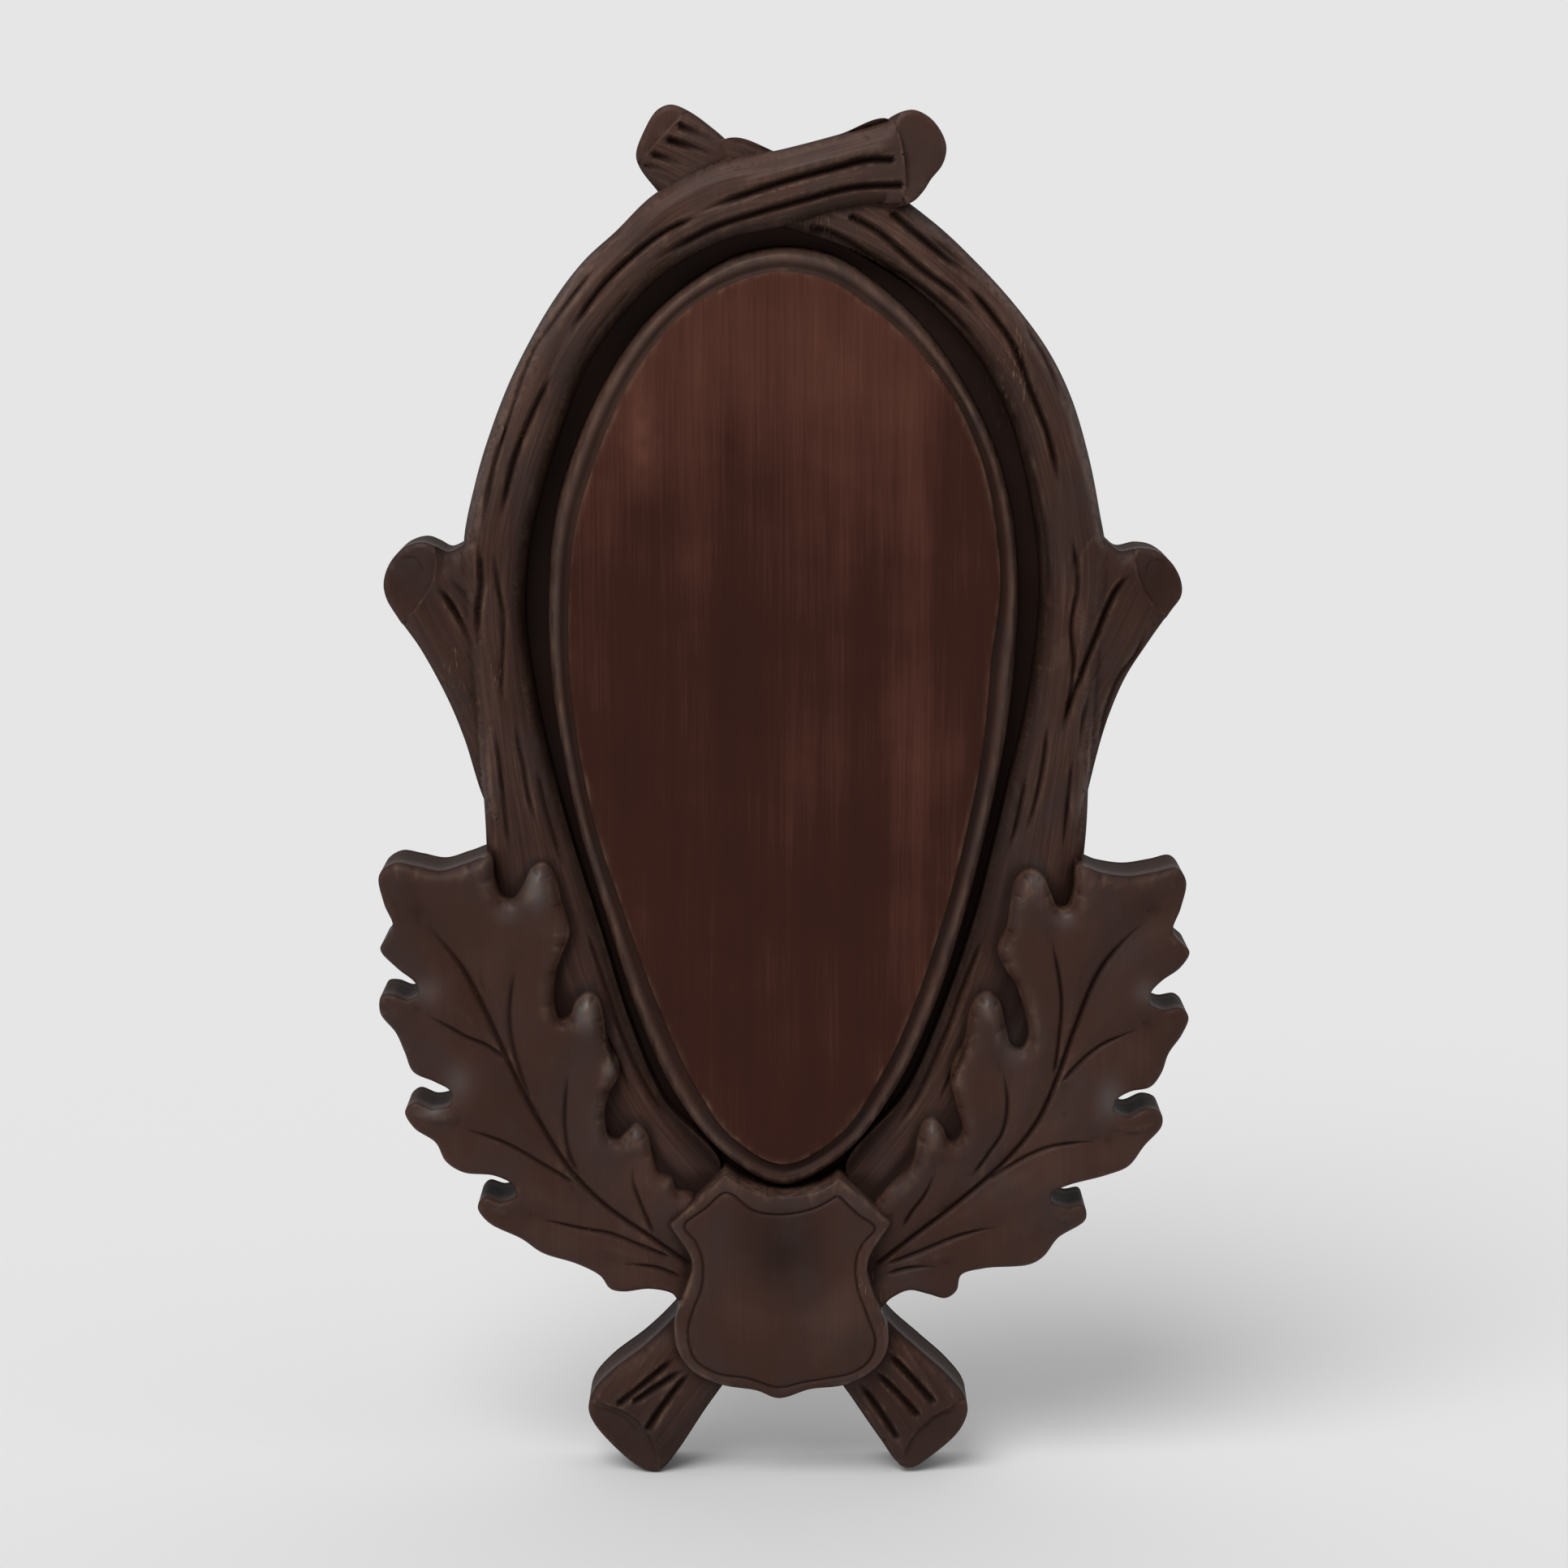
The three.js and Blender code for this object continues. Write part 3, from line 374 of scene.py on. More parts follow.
SHIELD_LINE = Strokes("border", (SHIELD_BORDER,), 1.2, 0.5, 0.2, 0.6, 0.6, 0.45)
FACE_ARCS = Strokes(
    "arcs", (
        ((-42.2, -141.6), (-38.5, -142.4), (-35, -144.6), (-32.3, -148)),
        ((39, -142), (34.5, -143.6), (31, -147.2)),
        ((-83.6, 50.6), (-79.6, 50.4), (-77.8, 47)),
        ((83.8, 49.6), (80, 50), (78.4, 46.6)),
    ), 0.9, 0.16, 0.4, 2.0, 2.0, 0.4,
)
ALL_STROKES = (
    RIDGES, BARK_FLUTES, STUB_FLUTES, BARK_GROOVES, BARK_LINES, LEAF_RIBS, VEIN_CUTS, SHIELD_LINE,
    FACE_ARCS,
)


# Plan geometry


def between(t: Array, start: Array, leave: Array, end: Array, arrive: Array) -> Array:
    """The cubic curve from start to end.

    Args:
        t: The shares of the way, from 0 to 1.
        start: Where each curve starts.
        leave: Its direction there.
        end: Where it ends.
        arrive: Its direction there.

    Returns:
        One spot or height for each share.
    """
    return (
        (2 * t**3 - 3 * t**2 + 1) * start
        + (t**3 - 2 * t**2 + t) * leave
        + (3 * t**2 - 2 * t**3) * end
        + (t**3 - t**2) * arrive
    )


@dataclass(frozen=True)
class Line:
    """A smooth plan line through given points."""

    points: Points
    closed: bool = False

    def at(self, shares: Array) -> Array:
        """The spots at shares of the way along, each span between two points counting alike.

        Args:
            shares: Values from 0 at the first point to 1 at the last, or round to the first.

        Returns:
            One plan spot for each share.
        """
        knots = np.asarray(self.points, float)
        if self.closed:
            before, start, end, after = (np.roll(knots, turn, 0) for turn in (1, 0, -1, -2))
        else:
            longer = np.vstack([2 * knots[0] - knots[1], knots, 2 * knots[-1] - knots[-2]])
            before, start, end, after = longer[:-3], longer[1:-2], longer[2:-1], longer[3:]
        first, middle, last = (
            np.sqrt(np.linalg.norm(b - a, axis=1))[:, None]
            for a, b in ((before, start), (start, end), (end, after))
        )
        leave = (start - before) / first - (end - before) / (first + middle)
        leave = (leave + (end - start) / middle) * middle
        arrive = (end - start) / middle - (after - start) / (middle + last)
        arrive = (arrive + (after - end) / last) * middle
        place = np.clip(np.asarray(shares, float), 0, 1) * len(start)
        span = np.minimum(place.astype(int), len(start) - 1)
        t = (place - span)[:, None]
        return between(t, start[span], leave[span], end[span], arrive[span])

    def even(self, step: float) -> Array:
        """Spots at even distances along the line.

        Args:
            step: The distance between them, in millimetres.

        Returns:
            The spots. A closed line doesn't repeat its first one.
        """
        fine = self.at(np.linspace(0, 1, len(self.points) * SPOTS_PER_SPAN + 1))
        run = np.concatenate([[0], np.cumsum(np.linalg.norm(np.diff(fine, axis=0), axis=1))])
        count = max(2, round(run[-1] / step))
        places = np.linspace(0, run[-1], count + 1)
        spots = np.stack([np.interp(places, run, fine[:, k]) for k in (0, 1)], axis=1)
        return spots[:-1] if self.closed else spots


def eased(values: Array, knots: Points) -> Array:
    """Heights on a smooth curve that doesn't overshoot its (place, height) knots.

    Args:
        values: The places to read.
        knots: The knots, in order of place.

    Returns:
        One height for each place.
    """
    place, height = np.asarray(knots, float).T
    width = np.diff(place)
    rise = np.diff(height) / width
    slope = np.zeros(len(place))
    slope[0], slope[-1] = rise[0], rise[-1]
    before, after = rise[:-1], rise[1:]
    same_way = before * after > 0
    slope[1:-1][same_way] = 2 / (1 / before[same_way] + 1 / after[same_way])
    values = np.clip(values, place[0], place[-1])
    span = np.clip(np.searchsorted(place, values, "right") - 1, 0, len(width) - 1)
    t = (values - place[span]) / width[span]
    leave, arrive = width[span] * slope[span], width[span] * slope[span + 1]
    return between(t, height[span], leave, height[span + 1], arrive)


def smooth(values: Array, low: float, high: float) -> Array:
    """A soft step from 0 at `low` to 1 at `high`."""
    t = np.clip((values - low) / (high - low), 0, 1)
    return t * t * (3 - 2 * t)


def roll_off(within: Array, width: float, drop: float, bend: float = 0.8) -> Array:
    """How far a rounded edge has fallen.

    Args:
        within: How far in from the edge each spot lies.
        width: How far in the rounding starts.
        drop: How far it falls in all.
        bend: Its section, from 0 for a parabola to 1 for a quarter of an ellipse.

    Returns:
        The fall at each spot.
    """
    t = np.clip(1 - within / width, 0, 1)
    return drop * (1 - np.sqrt(1 - bend * t * t)) / (1 - math.sqrt(1 - bend))


@dataclass(frozen=True)
class Nearness:
    """How spots lie to a line: distance, share of the way along, and side, 1 to its left."""

    distance: Array
    along: Array
    side: Array


def nearness(spots: Array, line: Array, closed: bool = False) -> Nearness:
    """Measures spots against a plan line of short straight steps.

    Args:
        spots: The plan spots.
        line: The line's own spots.
        closed: Whether the line comes round to its start.

    Returns:
        What each spot's nearest place on the line gives.
    """
    line = line.astype(np.float32)
    start = line if closed else line[:-1]
    step = (np.roll(line, -1, 0) if closed else line[1:]) - start
    length = np.linalg.norm(step, axis=1)
    run = np.cumsum(length) - length
    found = np.empty((3, len(spots)))
    for at in range(0, len(spots), CHUNK):
        part = spots[at:at + CHUNK].astype(np.float32)
        dx = part[:, :1] - start[:, 0]
        dz = part[:, 1:] - start[:, 1]
        t = np.clip((dx * step[:, 0] + dz * step[:, 1]) / (length * length), 0, 1)
        square = (dx - t * step[:, 0]) ** 2 + (dz - t * step[:, 1]) ** 2
        best = np.argmin(square, axis=1)
        row = np.arange(len(part))
        found[0, at:at + CHUNK] = np.sqrt(square[row, best])
        found[1, at:at + CHUNK] = run[best] + t[row, best] * length[best]
        turn = step[best, 0] * dz[row, best] - step[best, 1] * dx[row, best]
        found[2, at:at + CHUNK] = np.where(turn >= 0, 1, -1)
    return Nearness(found[0], found[1] / length.sum(), found[2])


def crossings(spots: Array, start: Array, end: Array) -> Array:
    """How many of the plan steps from `start` to `end` lie to the right of each spot.

    Args:
        spots: The plan spots.
        start: Where each step starts.
        end: Where it ends.

    Returns:
        One count for each spot.
    """
    (x0, z0), (x1, z1) = start.T, end.T
    slope = (x1 - x0) / np.where(z1 == z0, 1, z1 - z0)
    count = np.empty(len(spots), int)
    for at in range(0, len(spots), CHUNK):
        x, z = spots[at:at + CHUNK, :1], spots[at:at + CHUNK, 1:]
        crossed = ((z0 > z) != (z1 > z)) & (x < x0 + slope * (z - z0))
        count[at:at + CHUNK] = crossed.sum(axis=1)
    return count


def inside(spots: Array, outline: Array) -> Array:
    """Whether each plan spot lies inside a closed outline."""
    return crossings(spots, outline, np.roll(outline, -1, 0)) % 2 == 1


def aside(line: Array, distance: float, closed: bool) -> Array:
    """The spots of a line moved to its left.

    Args:
        line: The line's spots.
        distance: How far they move, below 0 to its right.
        closed: Whether the line comes round to its start.

    Returns:
        The moved spots.
    """
    if closed:
        ahead = np.roll(line, -1, 0) - np.roll(line, 1, 0)
    else:
        ahead = np.gradient(line, axis=0)
    ahead = ahead / np.linalg.norm(ahead, axis=1)[:, None]
    return line + distance * np.stack([-ahead[:, 1], ahead[:, 0]], axis=1)


def hex_fill(low: Array, high: Array, spacing: float) -> Array:
    """Plan spots in a honeycomb over a box.

    Args:
        low: The box's lower left corner.
        high: Its upper right one.
        spacing: How far apart the spots are.

    Returns:
        The spots.
    """
    rows = np.arange(low[1], high[1], spacing * math.sqrt(0.75))
    columns = np.arange(low[0], high[0], spacing)
    x, z = np.meshgrid(columns, rows)
    x = x + 0.5 * spacing * (np.arange(len(rows)) % 2)[:, None]
    return np.stack([x.ravel(), z.ravel()], axis=1)


# The carved forms


@dataclass(frozen=True)
class Swell:
    """A soft rise or hollow round a spot, longer upwards than sideways by its stretch."""

    x: float
    z: float
    reach: float
    rise: float
    stretch: float = 1.0

    def at(self, spots: Array) -> Array:
        """The rise at each spot.

        Args:
            spots: The plan spots.

        Returns:
            One rise for each spot.
        """
        across = (spots[:, 0] - self.x) / self.reach
        upwards = (spots[:, 1] - self.z) / (self.reach * self.stretch)
        return self.rise * np.exp(-(across**2) - upwards**2)


def sum_of(swells: Sequence[Swell], spots: Array) -> Array:
    """The rises of several swells together."""
    return sum((swell.at(spots) for swell in swells), np.zeros(len(spots)))


@dataclass
class Form:
    """A carved form that stands on the back, inside a closed plan outline.

    Its rails are the distances in from the outline that the mesh follows, its spacing is that of
    the spots between them, and it flows into lower forms where they are within its blend.
    """

    name: str
    region: Region
    outline: Points
    rails: Sequence[float] = (0.25, 0.6, 1.1)
    spacing: float = 0.7
    blend: float = 0.0
    swells: Sequence[Swell] = ()
    edge: Array = field(init=False)

    def __post_init__(self) -> None:
        """Works out the smooth outline once."""
        self.edge = Line(self.outline, True).even(EDGE_STEP)

    def near(self, spots: Array) -> Array:
        """Whether each spot lies in the form's box or close beside it."""
        low, high = self.edge.min(0) - NEAR, self.edge.max(0) + NEAR
        return ((spots > low) & (spots < high)).all(axis=1)

    def depth_in(self, spots: Array) -> Array:
        """How far inside the outline each spot lies, below 0 outside it."""
        sign = np.where(inside(spots, self.edge), 1, -1)
        return nearness(spots, self.edge, True).distance * sign

    def top(self, spots: Array, within: Array) -> Array:
        """The height of the form's upper surface.

        Args:
            spots: The plan spots.
            within: How far inside the outline each one lies, 0 outside it.

        Returns:
            One height for each spot.
        """
        raise NotImplementedError

    def lay(self, spots: Array) -> Marks:
        """How the tool marks lie on the form.

        Args:
            spots: The plan spots.

        Returns:
            The marks at each spot, with strengths from 0 to 1.
        """
        none = np.zeros(len(spots))
        return spots[:, 1], spots[:, 0], none, none

    def surface(self, spots: Array) -> tuple[Array, Array]:
        """The form's height at each spot, with its walls, and how far inside each spot lies.

        Args:
            spots: The plan spots.

        Returns:
            The heights, and the distances inside the outline, below 0 outside it.
        """
        heights = np.full(len(spots), -np.inf)
        depths = np.full(len(spots), -np.inf)
        near = self.near(spots)
        if near.any():
            depth = self.depth_in(spots[near])
            top = self.top(spots[near], np.maximum(depth, 0)) + sum_of(self.swells, spots[near])
            heights[near] = top - WALL_SLOPE * np.maximum(-depth, 0)
            depths[near] = depth
        return heights, depths

    def pooled(self, spots: Array) -> Array:
        """How much painted shade the form's own shape adds to the pooled stain, from 0 to 1."""
        return np.zeros(len(spots))

    def creases(self) -> Array:
        """Spots along the form's own creases, if it has any."""
        return np.empty((0, 2))

    def fill(self) -> Array:
        """The spots between the rails, over the whole form."""
        return hex_fill(self.edge.min(0), self.edge.max(0), self.spacing)


@dataclass
class Board(Form):
    """The board that shows as the floor of the groove."""

    def top(self, spots: Array, within: Array) -> Array:
        """A level floor."""
        return np.full(len(spots), GROOVE_FLOOR)


@dataclass
class Field(Form):
    """The egg-shaped field, with a quirk and a rounded moulding that fall to the groove.

    Places on its section, and its rows of spots, are shares of the way from the field's edge to the
    moulding's foot. On the field itself they run below 0, to -1 at the rim's width from its edge.
    """

    egg: Points = ()
    coarse: float = 3.5
    rim: float = 5.0
    row_step: float = 0.8
    close_rows: Sequence[float] = (-0.5, -0.22, -0.06, 0, 0.03, 0.07, 0.13, 0.2)
    wide_rows: Three = (0.28, 0.99, 0.08)
    section: Points = (
        (-0.05, 17), (0.0, 16.93), (0.03, 16.2), (0.1, 15.55), (0.22, 15.2), (0.34, 15.4),
        (0.48, 15.9), (0.62, 16.0), (0.76, 15.5), (0.88, 14.2), (0.96, 12.6), (1.0, 11.2),
    )

    def top(self, spots: Array, within: Array) -> Array:
        """The field, the quirk beside it and the moulding.

        Args:
            spots: The plan spots.
            within: How far inside the outline each one lies, 0 outside it.

        Returns:
            One height for each spot.
        """
        line = Line(self.egg, True).even(MEASURE_STEP)
        apart = nearness(spots, line, True).distance
        on_field = inside(spots, line)
        share = np.where(on_field, -apart / self.rim, apart / (apart + within + HAIR))
        return np.where(share < self.section[0][0], FIELD_HEIGHT, eased(share, self.section))

    def fill(self) -> Array:
        """Rows round the moulding, and widely spaced spots over the flat of the field.

        Returns:
            The spots.
        """
        egg, foot = Line(self.egg, True), Line(self.outline, True)
        count = round(len(foot.even(MEASURE_STEP)) / self.row_step)
        shares = np.linspace(0, 1, count, endpoint=False)
        inner, outer = egg.at(shares), foot.at(shares)
        places = (*self.close_rows, *np.arange(*self.wide_rows))
        rows = [inner + (outer - inner) * place for place in places]
        flat = hex_fill(self.edge.min(0), self.edge.max(0), self.coarse)
        line = egg.even(MEASURE_STEP)
        deep = inside(flat, line) & (nearness(flat, line, True).distance > self.coarse)
        return np.vstack([*rows, flat[deep]])


@dataclass
class Branch(Form):
    """A branch, crowned between its two edges, with crown and feet set along it."""

    outer: Points = ()
    inner: Points = ()
    crowns: Points = ((0, 14), (1, 14))
    outer_feet: Points = ((0, 10.5), (1, 10.5))
    inner_feet: Points = ((0, 13), (1, 13))
    section: Points = (
        (0, 0), (0.03, 0.28), (0.09, 0.55), (0.2, 0.84), (0.36, 1), (0.55, 1), (0.72, 0.9),
        (0.86, 0.66), (0.95, 0.34), (1, 0),
    )
    across_step: float = 0.42
    along_step: float = 0.95
    bark_width: float = 15.0
    # How dark the painted shade on the roll above the groove becomes
    roll_stain: float = 0.85
    roll_reach: Pair = (-4.5, 0.6)

    def place(self, spots: Array) -> tuple[Array, Array]:
        """The share of the way across from the outer edge, and along from the foot.

        Args:
            spots: The plan spots.

        Returns:
            Both shares for each spot.
        """
        lines = [Line(edge).even(MEASURE_STEP) for edge in (self.outer, self.inner)]
        out, within = (nearness(spots, line) for line in lines)
        across = out.distance / (out.distance + within.distance + HAIR)
        return across, 0.5 * (out.along + within.along)

    def top(self, spots: Array, within: Array) -> Array:
        """The crowned surface between the two feet.

        Args:
            spots: The plan spots.
            within: Not used.

        Returns:
            One height for each spot.
        """
        across, along = self.place(spots)
        outer, inner, crown = (
            eased(along, knots) for knots in (self.outer_feet, self.inner_feet, self.crowns)
        )
        foot = outer + (inner - outer) * across
        return foot + (crown - foot) * eased(across, self.section)

    def lay(self, spots: Array) -> Marks:
        """The bark runs along the branch and fades at its edges.

        Args:
            spots: The plan spots.

        Returns:
            The marks at each spot.
        """
        across, along = self.place(spots)
        bark = smooth(self.depth_in(spots), *BARK_FADE)
        length = MEASURE_STEP * len(Line(self.outer).even(MEASURE_STEP))
        return along * length, across * self.bark_width, bark, np.zeros(len(spots))

    def pooled(self, spots: Array) -> Array:
        """Painted shade: the roll above the groove darkens towards its edge, where it curves down into
        the groove.
        """
        away = nearness(spots, Line(self.inner).even(MEASURE_STEP)).distance
        return self.roll_stain * smooth(-away, *self.roll_reach)

    def fill(self) -> Array:
        """Rows along the branch, closer together across it than along it.

        Returns:
            The spots.
        """
        out, within = Line(self.outer), Line(self.inner)
        shares = np.linspace(0, 1, len(out.even(self.along_step)))
        a, b = out.at(shares), within.at(shares)
        count = round(np.linalg.norm(a - b, axis=1).mean() / self.across_step)
        return np.vstack([a + (b - a) * (k + 0.5) / count for k in range(count)])


@dataclass
class Stub(Form):
    """A cut-off side branch: a rounded shank and a smooth cut face at its end.

    The crown of the shank has risen to its full height at the share `rise_by` of its axis. Adding
    `apart` keeps the pattern of its tool marks different from that of its branch.
    """

    crown: float = 16.0
    crown_at_root: float = 16.0
    face_line: Points = ()
    face_height: float = 15.0
    face_tilt: float = 0.1
    axis: Points = ((0, 0), (1, 0))
    rise_by: float = 0.6
    cut_edge: Pair = (-0.25, 0.35)
    shank_roll: Pair = (4.5, 2.6)
    face_roll: Pair = (1.3, 0.9)
    crease_step: float = 0.45
    crease_rows: Sequence[float] = (-0.5, -0.25, 0, 0.25, 0.5)
    apart: Pair = (200.0, 100.0)

    def beyond_cut(self, spots: Array) -> Array:
        """How far past the edge of the cut face each spot lies, below 0 on the shank.

        Args:
            spots: The plan spots.

        Returns:
            One distance for each spot.
        """
        line = Line(self.face_line).even(0.5 * MEASURE_STEP)
        near = nearness(spots, line)
        tip = np.asarray([self.axis[1]], float)
        return near.distance * near.side * nearness(tip, line).side

    def top(self, spots: Array, within: Array) -> Array:
        """The shank, and beyond its end the cut face.

        Args:
            spots: The plan spots.
            within: How far inside the outline each one lies, 0 outside it.

        Returns:
            One height for each spot.
        """
        root, tip = (np.asarray(end, float) for end in self.axis)
        along = (spots - root) @ (tip - root) / ((tip - root) @ (tip - root))
        risen = smooth(along, 0, self.rise_by)
        crown = self.crown_at_root + (self.crown - self.crown_at_root) * risen
        shank = crown - roll_off(within, *self.shank_roll)
        beyond = self.beyond_cut(spots)
        face = self.face_height - self.face_tilt * np.maximum(beyond, 0)
        face = face - roll_off(within, *self.face_roll)
        return shank + (face - shank) * smooth(beyond, *self.cut_edge)

    def creases(self) -> Array:
        """Spots on both sides of the cut face's edge."""
        line = Line(self.face_line).even(self.crease_step)
        return np.vstack([aside(line, offset, False) for offset in self.crease_rows])

    def lay(self, spots: Array) -> Marks:
        """The bark runs along the shank, and the knife went over the cut face.

        Args:
            spots: The plan spots.

        Returns:
            The marks at each spot.
        """
        root, tip = (np.asarray(end, float) for end in self.axis)
        way = (tip - root) / np.linalg.norm(tip - root)
        along = (spots - root) @ way + self.apart[0]
        across = (spots - root) @ np.asarray([way[1], -way[0]]) + self.apart[1]
        shank = smooth(-self.beyond_cut(spots), 0, 1)
        within = smooth(self.depth_in(spots), *BARK_FADE)
        return along, across, shank * within, (1 - shank) * within


@dataclass
class Leaf(Form):
    """An oak leaf that bends at its rib, with rolled edges, puffed lobes and hollow notches.

    Places on its section are distances from the rib, below 0 towards the plaque's edge. Its roll
    goes from the outer one to the inner one over the distances of `change`, and its hollow is the
    reach and the depth of the dip along the rib and the veins. The rib is carried on by its reaches
    at both ends, so that the whole leaf lies beside it.
    """

    rib: Points = ()
    outer_side: int = 1
    section: Points = (
        (-50, LEAF_OUTER - 2.4), (-32, LEAF_OUTER + 0.4), (-16, LEAF_RIB - 0.6),
        (-7, LEAF_RIB + 0.5), (0, LEAF_RIB - 0.5), (6, LEAF_RIB + 0.7), (13, LEAF_INNER),
        (22, LEAF_INNER - 0.3), (40, LEAF_INNER - 2),
    )
    veins: Sequence[Points] = ()
    hollow: Pair = (3.2, 0.75)
    inner_roll: Pair = (3.2, 2.3)
    outer_roll: Pair = (1.3, 0.9)
    change: Pair = (-4.0, 8.0)
    foot_reach: float = 10.0
    tip_reach: float = 30.0
    step: float = 1.5
    apart: float = 300.0

    def from_rib(self, spots: Array) -> tuple[Array, Array]:
        """The distance from the rib, below 0 towards the plaque's edge, and that along it.

        Args:
            spots: The plan spots.

        Returns:
            Both distances for each spot.
        """
        foot, tip = np.asarray(self.rib[0], float), np.asarray(self.rib[-1], float)
        ways = (foot - np.asarray(self.rib[1], float), tip - np.asarray(self.rib[-2], float))
        first, last = (way / np.linalg.norm(way) for way in ways)
        longer = (foot + self.foot_reach * first, *self.rib, tip + self.tip_reach * last)
        line = Line(longer).even(self.step)
        near = nearness(spots, line)
        return near.distance * near.side * -self.outer_side, near.along * self.step * len(line)

    def top(self, spots: Array, within: Array) -> Array:
        """The bent blade with its rolled edge.

        Args:
            spots: The plan spots.
            within: How far inside the outline each one lies, 0 outside it.

        Returns:
            One height for each spot.
        """
        offset, _ = self.from_rib(spots)
        heights = eased(offset, self.section)
        away = np.minimum.reduce([
            nearness(spots, Line(path).even(self.step)).distance for path in (self.rib, *self.veins)
        ])
        reach, depth = self.hollow
        heights = heights - depth * np.exp(-((away / reach) ** 2))
        roll = roll_off(within, *self.outer_roll)
        inner = roll_off(within, *self.inner_roll)
        return heights - roll - (inner - roll) * smooth(offset, *self.change)

    def lay(self, spots: Array) -> Marks:
        """The knife marks run along the leaf.

        Args:
            spots: The plan spots.

        Returns:
            The marks at each spot.
        """
        across, along = self.from_rib(spots)
        knife = smooth(self.depth_in(spots), *KNIFE_FADE)
        return along, across + self.apart, np.zeros(len(spots)), knife


@dataclass
class Shield(Form):
    """The small heraldic shield, gently convex, with a crisp edge."""

    middle: Pair = (0.0, -113.0)
    half: Pair = (24.0, 30.0)
    fall: float = 1.5
    edge_roll: Pair = (0.5, 0.25)
    knife: float = 0.4
    apart: float = 500.0

    def top(self, spots: Array, within: Array) -> Array:
        """The convex face, with a slightly eased edge.

        Args:
            spots: The plan spots.
            within: How far inside the outline each one lies, 0 outside it.

        Returns:
            One height for each spot.
        """
        away = (spots - np.asarray(self.middle)) / np.asarray(self.half)
        dome = SHIELD_CROWN - self.fall * (away**2).sum(axis=1)
        return dome - roll_off(within, *self.edge_roll)

    def lay(self, spots: Array) -> Marks:
        """Faint knife marks run down the face."""
        knife = self.knife * smooth(self.depth_in(spots), *KNIFE_FADE)
        return spots[:, 1], spots[:, 0] + self.apart, np.zeros(len(spots)), knife


def egg_of(top: float, bottom: float, rows: Points) -> Points:
    """The closed outline of an egg, from rows of height and reach to each side.

    Args:
        top: The height of its upper end.
        bottom: That of its lower end.
        rows: Rows of (z, reach to the left, reach to the right), from the top down.

    Returns:
        The outline's points.
    """
    left = [(-to_left, z) for z, to_left, _ in rows]
    right = [(to_right, z) for z, _, to_right in reversed(rows)]
    return [(0, top), *left, (0, bottom), *right]


def board_edge() -> Points:
    """The board's outline, along the middles of the branches.

    Returns:
        The outline's points.
    """
    shares = np.asarray(BOARD_SHARES)
    left, right = (
        0.5 * (Line(outer).at(shares) + Line(inner).at(shares))
        for outer, inner in ((FRONT_OUTER, FRONT_INNER), (BACK_OUTER, BACK_INNER))
    )
    return [BOARD_FOOT, *left.tolist(), BOARD_TOP, *right[::-1].tolist()]


